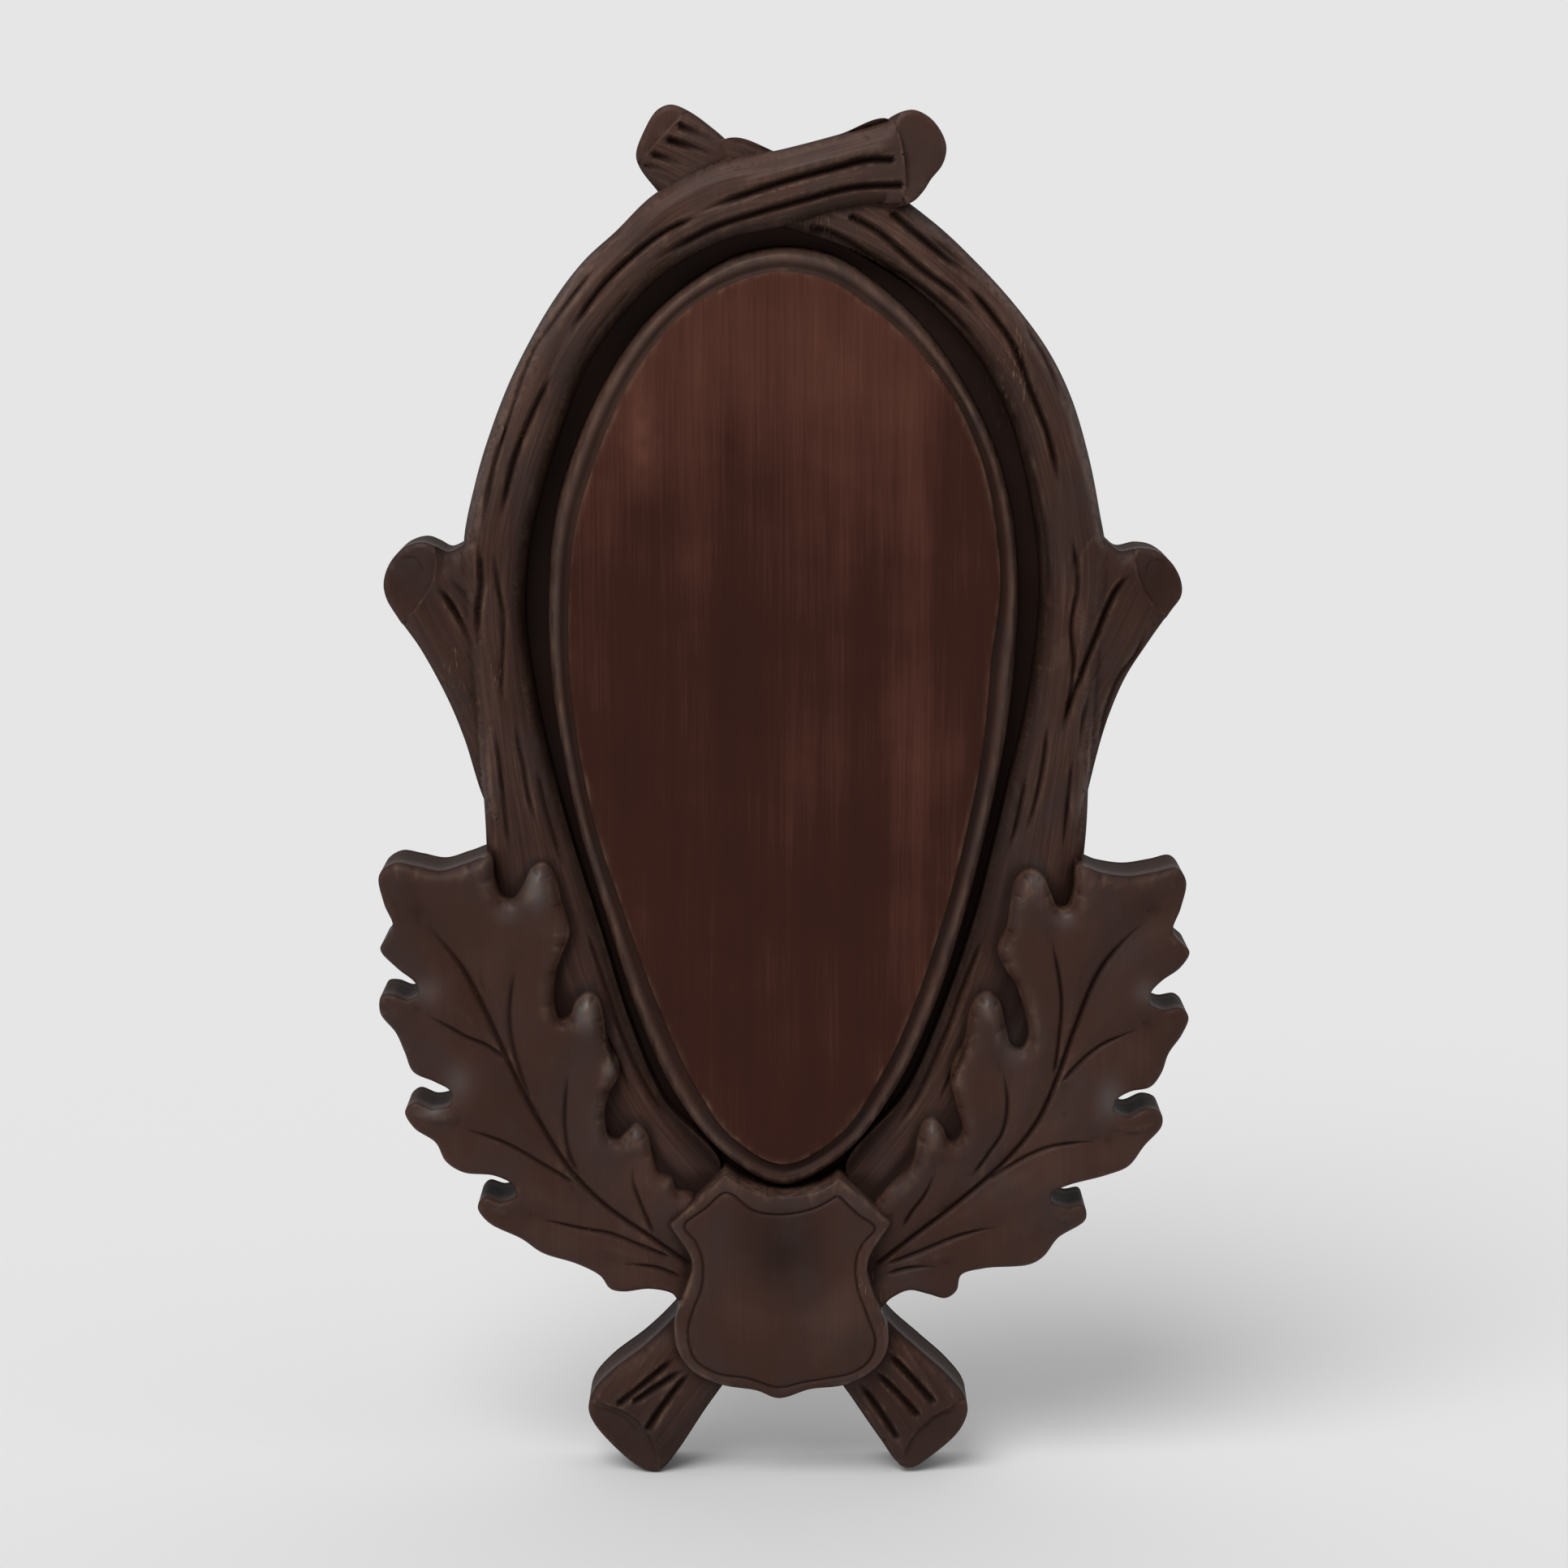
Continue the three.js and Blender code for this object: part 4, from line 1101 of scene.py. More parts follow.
def carved_forms() -> list[Form]:
    """Every form of the plaque, from the lowest to the highest.

    Returns:
        The forms, in the order in which they lie on one another.
    """
    bark = {"region": Region.BRANCH, "rails": (0.3, 0.75, 1.4)}
    shank = {**bark, "spacing": 0.55, "blend": 2.0}
    fork = {**shank, "blend": 5.5}
    knob = {"crown": 16.4, "crown_at_root": 13.2, "face_height": 15.6, "face_tilt": 0.12}
    low_stub = {"crown": 16.2, "crown_at_root": 15.4, "face_height": 15.4, "face_tilt": 0.1}
    blade = {"region": Region.LEAF, "rails": (0.22, 0.55, 1.0, 1.6, 2.3), "spacing": 0.72}
    lower = LOWER_CROWN
    return [
        Board("board", Region.GROOVE, board_edge(), (), 1.6),
        Field(
            "field", Region.FIELD, egg_of(FOOT_TOP, FOOT_BOTTOM, FOOT_ROWS), (0.3,),
            egg=egg_of(FIELD_TOP, FIELD_BOTTOM, FIELD_ROWS),
        ),
        Branch(
            "back_branch", outline=[*BACK_OUTER, *reversed(BACK_INNER)], **bark,
            outer=BACK_OUTER, inner=BACK_INNER,
            crowns=((0, lower), (0.3, lower), (0.5, 18), (0.75, 17.2), (0.9, 15.6), (1, 15)),
            outer_feet=((0, 10.5), (0.88, 10.5), (0.95, 14), (1, 14.6)),
        ),
        Branch(
            "front_branch", outline=[*FRONT_OUTER, *reversed(FRONT_INNER)], **bark,
            outer=FRONT_OUTER, inner=FRONT_INNER,
            crowns=((0, lower), (0.3, lower), (0.45, 18), (0.75, 19.5), (0.94, 19.6), (1, 19)),
            outer_feet=((0, 10.5), (0.74, 10.5), (0.8, 14.5), (1, 15.5)),
            inner_feet=((0, 13), (0.78, 13), (0.86, 16.6), (1, 16.6)),
        ),
        Stub(
            "left_knob", outline=LEFT_KNOB, **fork, **knob, axis=((-66, 10), (-84, 48)),
            face_line=((-75.6, 56), (-75.6, 50), (-76.6, 45), (-79.5, 40.5), (-84, 35)),
            swells=(Swell(-74, 49.5, 2.2, -1.3, 1.4),),
        ),
        Stub(
            "right_knob", outline=RIGHT_KNOB, **fork, **knob, axis=((66, 10), (84, 47)),
            face_line=((76, 55), (76.5, 49.5), (78, 44.5), (80.5, 40.5), (84.5, 36)),
        ),
        Stub(
            "top_left_stub", outline=TOP_LEFT_STUB, **bark, spacing=0.5,
            crown=16.4, crown_at_root=14.6, axis=((-8, 133), (-27, 142)),
            face_line=((-18, 148.5), (-22, 145), (-25.5, 141.5), (-28.5, 138), (-32.5, 133.5)),
            face_height=15.4, face_tilt=0.12,
        ),
        Stub(
            "top_right_stub", outline=TOP_RIGHT_STUB, **shank,
            crown=18.4, crown_at_root=18.4, axis=((14, 134), (32, 138)),
            face_line=((26, 148), (23.6, 142.5), (22.8, 137.5), (24, 132), (26.5, 126)),
            face_height=18.5, face_tilt=0.1,
        ),
        Stub(
            "lower_left_stub", outline=LOWER_LEFT_STUB, **shank, **low_stub,
            axis=((-12, -118), (-35, -150)),
            face_line=((-46, -139), (-40, -140.6), (-34.5, -143), (-30.5, -147.5), (-27, -158)),
        ),
        Stub(
            "lower_right_stub", outline=LOWER_RIGHT_STUB, **shank, **low_stub,
            axis=((12, -118), (34, -150)),
            face_line=((44, -139), (38, -141), (33, -144), (29, -148.5), (25.5, -157)),
        ),
        Leaf(
            "left_leaf", outline=LEFT_LEAF, **blade, rib=LEFT_RIB, outer_side=1,
            veins=LEAF_VEINS[:7],
            swells=(
                Swell(-60.4, -29, 4.5, -0.5), Swell(-50, -57, 4.5, -0.5), Swell(-37.5, -83, 4, -0.5),
                Swell(-77, -47.5, 5, 0.8), Swell(-70, -71.5, 6, 0.9), Swell(-56, -92, 5, 0.8),
                Swell(-53.8, -22, 4, 1.0), Swell(-43.6, -50.5, 4, 1.0),
                Swell(-38.8, -65, 3.2, 0.7), Swell(-33, -79.5, 3.5, 0.6),
                Swell(-85, -20.5, 3, 0.5), Swell(-85.5, -50, 3, 0.5), Swell(-64, -96, 3, 0.4),
            ),
        ),
        Leaf(
            "right_leaf", outline=RIGHT_LEAF, **blade, rib=RIGHT_RIB, outer_side=-1,
            veins=LEAF_VEINS[7:],
            swells=(
                Swell(61.5, -31, 4.5, -0.5), Swell(52.4, -63, 4.5, -1.0), Swell(38, -83.5, 4, -0.5),
                Swell(77.5, -49, 5, 0.8), Swell(69.5, -72.5, 6, 1.0), Swell(56.5, -92.5, 5, 0.8),
                Swell(54.8, -23, 4, 1.0), Swell(45.4, -50.5, 4, 0.9),
                Swell(34.6, -78.5, 3.5, 0.7), Swell(39, -64, 3, 0.4),
                Swell(85, -22, 3, 0.5), Swell(86, -53, 3, 0.5), Swell(63.5, -97, 3, 0.4),
            ),
        ),
        Shield("shield", Region.SHIELD, SHIELD_EDGE, (0.2, 0.5, 1.0), 1.0),
    ]


# The mesh


def sides_of(faces: Array) -> Array:
    """The three sides of every triangle, as pairs of corners in its own order."""
    return np.vstack([faces[:, (0, 1)], faces[:, (1, 2)], faces[:, (2, 0)]])


def turned(plan: Array, faces: Array, way: int) -> Array:
    """The triangles turned leftwards on the plan for a way of 1, and rightwards for -1.

    Args:
        plan: The plan spots.
        faces: The triangles.
        way: 1 or -1.

    Returns:
        The triangles, each with its corners in the order asked for.
    """
    a, b, c = (plan[faces[:, k]] for k in range(3))
    area = (b - a)[:, 0] * (c - a)[:, 1] - (b - a)[:, 1] * (c - a)[:, 0]
    return np.where(way * area[:, None] < 0, faces[:, ::-1], faces)


def triangulated(spots: Array, steps: Array, merge: float) -> tuple:
    """Covers plan spots with triangles that keep to the given steps.

    Args:
        spots: The plan spots.
        steps: Pairs of spots that have to be joined.
        merge: How close together spots become one.

    Returns:
        The spots, the triangles, both ends of each given step, and for every spot the numbers of
        the given ones that it stands for.
    """
    plan, edges, faces, sources, given, _ = delaunay_2d_cdt(
        [Vector(spot) for spot in spots.tolist()], steps.tolist(), [], 0, merge, True,
    )
    plan = np.asarray([tuple(spot) for spot in plan])
    kept = np.asarray([bool(numbers) for numbers in given])
    return plan, np.asarray(faces), plan[np.asarray(edges)[kept]], sources


@dataclass
class PointBed:
    """The plan spots of the mesh, kept from crowding one another."""

    low: Array
    high: Array
    cell: float = 0.1
    margin: int = 20
    spots: list[Array] = field(default_factory=list)
    taken: Array = field(init=False)

    def __post_init__(self) -> None:
        """Lays out the empty cells."""
        size = np.ceil((self.high - self.low) / self.cell).astype(int) + 2 * self.margin
        self.taken = np.zeros(size, bool)

    def add(self, spots: Array, clearance: float) -> None:
        """Adds spots, apart from those closer than the clearance to what is there.

        Args:
            spots: The plan spots.
            clearance: How close they may come, in millimetres.
        """
        spots = spots[((spots >= self.low) & (spots <= self.high)).all(axis=1)]
        place = np.round((spots - self.low) / self.cell).astype(int) + self.margin
        reach = int(clearance / self.cell)
        keep = np.ones(len(spots), bool)
        for dx in range(-reach, reach + 1):
            for dz in range(-reach, reach + 1):
                if math.hypot(dx, dz) * self.cell <= clearance:
                    keep &= ~self.taken[place[:, 0] + dx, place[:, 1] + dz]
        self.taken[place[keep, 0], place[keep, 1]] = True
        self.spots.append(spots[keep])


@dataclass
class PlanMesh:
    """The plaque seen from the front: spots, triangles, and the steps round its edge."""

    spots: Array
    faces: Array
    rim: Array


@dataclass(frozen=True)
class Reading:
    """The carving over some spots.

    It gives heights, the number of the form that shows there, or -1 where there is no wood, how
    far that form stands above the next one, and how far inside its outline each spot lies.
    """

    heights: Array
    owner: Array
    lead: Array
    depth: Array


@dataclass
class Relief:
    """The carved surface: the forms that make it up, and the strokes cut into them.

    A rail is left out where the outline has come nearer than its offset, give or take the slack and
    its share of the offset. A form starts to flow into lower ones at its edge, and does so fully
    `blend_in` millimetres further in. Its top begins `lip` millimetres in, and outside that is wall.
    """

    forms: list[Form]
    strokes: Sequence[Strokes]
    stroke_step: float = 0.7
    stroke_rails: Sequence[float] = (0.0, 0.5, -0.5, 0.26, -0.26)
    row_clearance: float = 0.3
    rail_slack: Pair = (0.12, 0.1)
    blend_in: float = 1.5
    lip: float = 0.1
    probe: float = 0.05

    def read(self, spots: Array) -> Reading:
        """Reads the carving over plan spots.

        Args:
            spots: The plan spots.

        Returns:
            What shows at each spot.
        """
        heights = np.full(len(spots), FAR_BELOW)
        second, own_depth = heights.copy(), heights.copy()
        owner = np.full(len(spots), -1)
        wood = np.zeros(len(spots), bool)
        for number, form in enumerate(self.forms):
            surface, depth = form.surface(spots)
            wood |= depth > -MERGE
            higher = surface > heights
            owner[higher], own_depth[higher] = number, depth[higher]
            second = np.maximum(second, np.minimum(surface, heights))
            merged = np.maximum(heights, surface)
            if form.blend:
                reach = form.blend * np.clip(depth / self.blend_in, 1e-3, 1)
                gap = np.minimum(np.abs(surface - heights), reach)
                merged = merged + reach * (1 - gap / reach) ** 2 / 4
            heights = merged
        owner[~wood] = -1
        return Reading(heights, owner, heights - second, own_depth)

    def outline_spots(self) -> tuple[Array, Array]:
        """The spots and steps of every outline that may be the plaque's own edge.

        Returns:
            The spots, and the steps as pairs of their numbers.
        """
        spots, steps, count = [], [], 0
        for form in self.forms:
            buried = np.zeros(len(form.edge), bool)
            for other in self.forms:
                if other is not form:
                    buried |= other.surface(form.edge)[1] > BURIED
            number = np.cumsum(~buried) - 1 + count
            following = np.roll(number, -1)
            kept = ~buried & ~np.roll(buried, -1)
            steps.append(np.stack([number[kept], following[kept]], axis=1))
            spots.append(form.edge[~buried])
            count += len(spots[-1])
        return np.vstack(spots), np.vstack(steps)

    def lay_rails(self, bed: PointBed, offsets: Sequence[float] = ()) -> None:
        """Sets spots along every form's outline, moved inwards by each offset.

        Args:
            bed: The spots so far.
            offsets: The distances inwards. With none, each form's own rails are laid.
        """
        for number, form in reversed(list(enumerate(self.forms))):
            if not form.rails:
                continue
            shown = self.read(form.edge).owner == number
            probe = aside(form.edge, self.probe, True)[:1]
            inwards = 1 if inside(probe, form.edge)[0] else -1
            for offset in offsets or form.rails:
                rail = aside(form.edge, inwards * offset, True)[shown]
                if len(rail):
                    slack = self.rail_slack[0] + self.rail_slack[1] * abs(offset)
                    fits = np.abs(form.depth_in(rail) - offset) < slack
                    owner = self.read(rail[fits]).owner
                    wanted = owner >= 0 if offset <= 0 else owner == number
                    bed.add(rail[fits][wanted], RAIL_CLEARANCE)

    def add_inner(self, bed: PointBed, spots: Array, clearance: float, number: int = -1) -> None:
        """Adds spots that lie on the top of a form, or of the one numbered, not on its walls.

        Args:
            bed: The spots so far.
            spots: The spots to add.
            clearance: How close they may come to what is there.
            number: The form that has to show there, or -1 for any.
        """
        reading = self.read(spots)
        shown = reading.owner >= 0 if number < 0 else reading.owner == number
        bed.add(spots[shown & (reading.depth > self.lip)], clearance)

    def lay_strokes(self, bed: PointBed) -> None:
        """Sets spots along the bottom, the sides and the lips of every stroke.

        Args:
            bed: The spots so far.
        """
        for share in self.stroke_rails:
            for strokes in self.strokes:
                rails = [
                    aside(Line(path).even(self.stroke_step), share * strokes.width, False)
                    for path in strokes.paths
                ]
                self.add_inner(bed, np.vstack(rails), LINE_CLEARANCE)

    def plan_mesh(self) -> PlanMesh:
        """The flat mesh of the whole plaque.

        Returns:
            The mesh, with its edge.
        """
        edge, steps = self.outline_spots()
        bed = PointBed(edge.min(0), edge.max(0))
        bed.add(edge, 0.0)
        self.lay_rails(bed, (0.0, -WALL_FOOT))
        for number, form in enumerate(self.forms):
            self.add_inner(bed, form.creases(), LINE_CLEARANCE, number)
        self.lay_strokes(bed)
        self.lay_rails(bed)
        for number, form in reversed(list(enumerate(self.forms))):
            in_rows = isinstance(form, (Branch, Field))
            clearance = self.row_clearance if in_rows else 0.5 * form.spacing
            self.add_inner(bed, form.fill(), clearance, number)
        spots = np.vstack(bed.spots)
        log.info("plan: %d spots, of which %d on outlines", len(spots), len(edge))
        plan, faces, _, sources = triangulated(spots, steps, MERGE)
        on_edge = np.asarray([not numbers or min(numbers) < len(edge) for numbers in sources])
        doubtful = on_edge[faces].all(axis=1)
        keep = np.ones(len(faces), bool)
        keep[doubtful] = self.read(plan[faces[doubtful]].mean(axis=1)).owner >= 0
        return self.trimmed(plan, faces[keep])

    @staticmethod
    def trimmed(plan: Array, faces: Array) -> PlanMesh:
        """Turns the triangles one way, drops the spots that none uses and finds the edge.

        Args:
            plan: The plan spots.
            faces: The triangles.

        Returns:
            The mesh, with its edge.
        """
        faces = turned(plan, faces, 1)
        used = np.unique(faces)
        renumber = np.full(len(plan), -1)
        renumber[used] = np.arange(len(used))
        faces = renumber[faces]
        pairs = sides_of(faces)
        _, where, counts = np.unique(np.sort(pairs), axis=0, return_index=True, return_counts=True)
        return PlanMesh(plan[used], faces, pairs[where[counts == 1]])


@dataclass
class Shell:
    """The closed surface: the carved front, the sides and the flat back."""

    plan: PlanMesh
    heights: Array
    limits: Array
    side_shares: Sequence[float] = (0.68, 0.36)

    def build(self) -> tuple[Array, list[list[int]], Array, Array]:
        """Closes the surface.

        Returns:
            Places in metres, faces, the front spot that each place stands over, and how far it
            shares in what is cut into the front, from 1 there to 0 at the back.
        """
        rim, spots = self.plan.rim, self.plan.spots
        ids = np.unique(rim)
        slot = np.full(len(spots), -1)
        slot[ids] = np.arange(len(ids))
        ahead = np.zeros((len(spots), 2))
        step = spots[rim[:, 1]] - spots[rim[:, 0]]
        np.add.at(ahead, rim[:, 0], step)
        np.add.at(ahead, rim[:, 1], step)
        ahead = ahead[ids] / np.linalg.norm(ahead[ids], axis=1)[:, None]
        inset = spots[ids] + BACK_EASE * np.stack([-ahead[:, 1], ahead[:, 0]], axis=1)
        rings = [(spots[ids], share * self.heights[ids], share) for share in self.side_shares]
        rings += [(spots[ids], np.full(len(ids), BACK_EASE), 0.0), (inset, np.zeros(len(ids)), 0.0)]
        plan = np.vstack([spots, *(ring for ring, _, _ in rings)])
        heights = np.concatenate([self.heights, *(height for _, height, _ in rings)])
        over = np.concatenate([np.arange(len(spots)), *(ids for _ in rings)])
        carve = np.concatenate([np.ones(len(spots)), *(np.full(len(ids), k) for _, _, k in rings)])
        faces = self.plan.faces.tolist()
        upper = rim
        for level in range(len(rings)):
            lower = slot[rim] + len(spots) + level * len(ids)
            faces += np.column_stack([upper[:, ::-1], lower]).tolist()
            upper = lower
        faces += self.back(plan, upper)
        reach = np.where(plan < 0, self.limits[0] / plan.min(0), self.limits[1] / plan.max(0))
        plan = plan * np.minimum(reach, 1)
        places = np.stack([plan[:, 0], -heights, plan[:, 1]], axis=1) * MM
        return places, faces, over, carve

    def back(self, plan: Array, ring: Array) -> list[list[int]]:
        """The flat back inside the last ring of steps.

        Args:
            plan: Every plan spot of the shell.
            ring: The steps, as pairs of spots.

        Returns:
            The triangles of the back.
        """
        ids = np.unique(ring)
        slot = np.full(len(plan), -1)
        slot[ids] = np.arange(len(ids))
        flat, faces, steps, sources = triangulated(plan[ids], slot[ring], 0.1 * MERGE)
        keep = crossings(flat[faces].mean(axis=1), steps[:, 0], steps[:, 1]) % 2 == 1
        source = np.asarray([ids[numbers[0]] for numbers in sources])
        return source[turned(flat, faces, -1)[keep]].tolist()


def linked(faces: Array) -> Array:
    """Every pair of corners that a side joins, once."""
    return np.unique(np.sort(sides_of(faces)), axis=0)


def blurred(values: Array, pairs: Array, rounds: int, keep: float = 0.4) -> Array:
    """Values evened out over the mesh.

    Args:
        values: One value for each corner.
        pairs: The pairs of corners that a side joins.
        rounds: How often they are evened out.
        keep: The share of its own value that a corner keeps each time.

    Returns:
        The new values.
    """
    size = len(values)
    count = np.bincount(pairs.ravel(), minlength=size)
    for _ in range(rounds):
        total = np.bincount(pairs[:, 0], values[pairs[:, 1]], size)
        total += np.bincount(pairs[:, 1], values[pairs[:, 0]], size)
        values = keep * values + (1 - keep) * total / count
    return values


# Node trees

MATH = "ShaderNodeMath"
MIX = "ShaderNodeMix"
RANGE = "ShaderNodeMapRange"
VECTOR_MATH = "ShaderNodeVectorMath"
VECTOR = "ShaderNodeCombineXYZ"
NOISE = "ShaderNodeTexNoise"
NAMED = "GeometryNodeInputNamedAttribute"


@dataclass
class Graph:
    """A node tree that is being wired."""

    tree: bpy.types.NodeTree

    def add(self, kind: str, inputs: dict | None = None, out: int | str = 0,
            **settings: object) -> Socket | bpy.types.Node:
        """Adds a node.

        Args:
            kind: The node's type name.
            inputs: For a socket's name or number, the value that it takes or the output that
                is joined to it.
            out: The name or number of the output to hand back.
            **settings: The node's own settings.

        Returns:
            The chosen output socket, or the node itself if it has none.
        """
        node = self.tree.nodes.new(kind)
        for name, value in settings.items():
            setattr(node, name, value)
        for key, value in (inputs or {}).items():
            if isinstance(value, Socket):
                self.tree.links.new(value, node.inputs[key])
            else:
                node.inputs[key].default_value = value
        return node.outputs[out] if node.outputs else node

    def layered(self, base: float, layers: Sequence[tuple]) -> Socket:
        """A base value with a share of each layer added to it, from (layer, share) pairs.

        Args:
            base: The value to start from.
            layers: The layers, each with its share.

        Returns:
            The sum.
        """
        for layer, share in layers:
            base = self.add(MATH, {0: layer, 1: share, 2: base}, operation="MULTIPLY_ADD")
        return base


def geometry_graph(name: str, sockets: dict[str, str]) -> tuple[Graph, dict[str, Socket]]:
    """Starts a geometry tree with named inputs.

    Args:
        name: The tree's name.
        sockets: The kind of each input, by name, as the end of its socket's type name.

    Returns:
        The graph, and its inputs by name.
    """
    tree = bpy.data.node_groups.new(name, "GeometryNodeTree")
    for socket, kind in sockets.items():
        tree.interface.new_socket(socket, in_out="INPUT", socket_type=f"NodeSocket{kind}")
    tree.interface.new_socket("Geometry", in_out="OUTPUT", socket_type="NodeSocketGeometry")
    entry = tree.nodes.new("NodeGroupInput")
    return Graph(tree), {socket: entry.outputs[socket] for socket in sockets}


def finish_geometry(graph: Graph, shape: Socket, finish: Socket) -> None:
    """Ends a geometry tree: instances become real and the wood gets its finish.

    Args:
        graph: The tree's graph.
        shape: The geometry so far.
        finish: The input that holds the material.
    """
    real = graph.add("GeometryNodeRealizeInstances", {"Geometry": shape})
    dressed = graph.add("GeometryNodeSetMaterial", {"Geometry": real, "Material": finish})
    graph.add("NodeGroupOutput", {"Geometry": dressed})


def gouge_tree(narrowest: float = 0.45, sharpness: float = 1.4) -> bpy.types.NodeTree:
    """The tree that sinks a cut below every stroke, or raises a ridge over it.

    Args:
        narrowest: The share of its width that a cut has where it only scratches the wood.
        sharpness: The power that draws its section in towards the middle.

    Returns:
        The tree.
    """
    graph, given = geometry_graph("gouge", {
        "Geometry": "Geometry", "Strokes": "Object", "Width": "Float", "Depth": "Float",
        "Round": "Float", "Stain": "Float", "Finish": "Material",
    })
    add = graph.add
    bite, cut, carve = (add(NAMED, {"Name": name}, "Attribute") for name in ("bite", "cut", "carve"))
    paths = add("GeometryNodeObjectInfo", {"Object": given["Strokes"]}, "Geometry")
    here = add("GeometryNodeInputPosition")
    on_plan = add(VECTOR_MATH, {0: here, 1: (1.0, 0.0, 1.0)}, operation="MULTIPLY")
    nearest = add("GeometryNodeProximity", {
        "Geometry": paths, "Sample Position": on_plan,
    }, "Position", target_element="EDGES")
    distance = nearest.node.outputs["Distance"]
    place = add("GeometryNodeSampleNearest", {"Geometry": paths, "Sample Position": nearest})
    bite = add("GeometryNodeSampleIndex", {"Geometry": paths, "Index": place, "Value": bite})
    half = add(MATH, {0: given["Width"], 1: 0.5 * MM}, operation="MULTIPLY")
    narrowed = add(RANGE, {"Value": bite, "To Min": narrowest})
    half = add(MATH, {0: half, 1: narrowed}, operation="MULTIPLY")
    away = add(MATH, {0: distance, 1: half}, operation="DIVIDE", use_clamp=True)
    squared = add(MATH, {0: away, 1: away}, operation="MULTIPLY")
    vee, flute = (add(MATH, {0: 1.0, 1: fall}, operation="SUBTRACT") for fall in (away, squared))
    section = add(MIX, {0: given["Round"], 2: vee, 3: flute})
    sunk = add(MATH, {0: section, 1: sharpness}, operation="POWER")
    for factor in (bite, carve):
        sunk = add(MATH, {0: sunk, 1: factor}, operation="MULTIPLY")
    depth = add(MATH, {0: given["Depth"], 1: MM}, operation="MULTIPLY")
    # The cut's darkening, pooled stain with painted shade, is kept in the cut attribute
    inwards, stain = (
        add(MATH, {0: sunk, 1: factor}, operation="MULTIPLY") for factor in (depth, given["Stain"])
    )
    shift = add(VECTOR, {"Y": inwards})
    moved = add("GeometryNodeSetPosition", {"Geometry": given["Geometry"], "Offset": shift})
    marked = add("GeometryNodeStoreNamedAttribute", {
        "Geometry": moved, "Name": "cut",
        "Value": add(MATH, {0: cut, 1: stain}, operation="MAXIMUM"),
    }, data_type="FLOAT", domain="POINT")
    finish_geometry(graph, marked, given["Finish"])
    return graph.tree


def tooling_tree() -> bpy.types.NodeTree:
    """The tree that leaves soft ridges, as many small strokes side by side do.

    Returns:
        The tree.
    """
    graph, given = geometry_graph("tooling", {
        "Geometry": "Geometry", "Mask": "String", "Spacing": "Float", "Length": "Float",
        "Depth": "Float", "Seed": "Float", "Finish": "Material",
    })
    add = graph.add
    across, along, carve, mask = (
        add(NAMED, {"Name": name}, "Attribute")
        for name in ("across", "along", "carve", given["Mask"])
    )
    spot = add(VECTOR, {
        "X": add(MATH, {0: across, 1: given["Spacing"]}, operation="DIVIDE"),
        "Y": add(MATH, {0: along, 1: given["Length"]}, operation="DIVIDE"),
        "Z": given["Seed"],
    })
    noise = add(NOISE, {"Vector": spot, "Scale": 1.0, "Detail": 1.0, "Roughness": 0.4})
    sunk = add(MATH, {0: 0.5, 1: noise}, operation="SUBTRACT")
    depth = add(MATH, {0: given["Depth"], 1: 2 * MM}, operation="MULTIPLY")
    for factor in (depth, mask, carve):
        sunk = add(MATH, {0: sunk, 1: factor}, operation="MULTIPLY")
    shift = add(VECTOR, {"Y": sunk})
    moved = add("GeometryNodeSetPosition", {"Geometry": given["Geometry"], "Offset": shift})
    finish_geometry(graph, moved, given["Finish"])
    return graph.tree


def apply_tree(piece: bpy.types.Object, tree: bpy.types.NodeTree, sizes: object,
               **given: object) -> None:
    """Adds a geometry tree to a piece.

    Args:
        piece: The object that gets it.
        tree: The tree.
        sizes: The record whose fields its inputs of the same names take.
        **given: What its other inputs take, by name.
    """
    values = {name.capitalize(): value for name, value in vars(sizes).items()} | given
    modifier = piece.modifiers.new(tree.name, "NODES")
    modifier.node_group = tree
    for socket in tree.interface.items_tree:
        if getattr(socket, "in_out", "") == "INPUT" and socket.name in values:
            modifier[socket.identifier] = values[socket.name]


# The finish


def linear(colour: str) -> tuple[float, float, float, float]:
    """The linear value of an sRGB colour such as #804020."""
    parts = (int(colour[k:k + 2], 16) / 255 for k in (1, 3, 5))
    return (*(c / 12.92 if c <= 0.04045 else ((c + 0.055) / 1.055) ** 2.4 for c in parts), 1.0)


@dataclass(frozen=True)
class Figure:
    """A pattern in the wood: its size across, into and up the board in millimetres, and its detail."""

    across: float
    into: float
    upwards: float
    detail: float


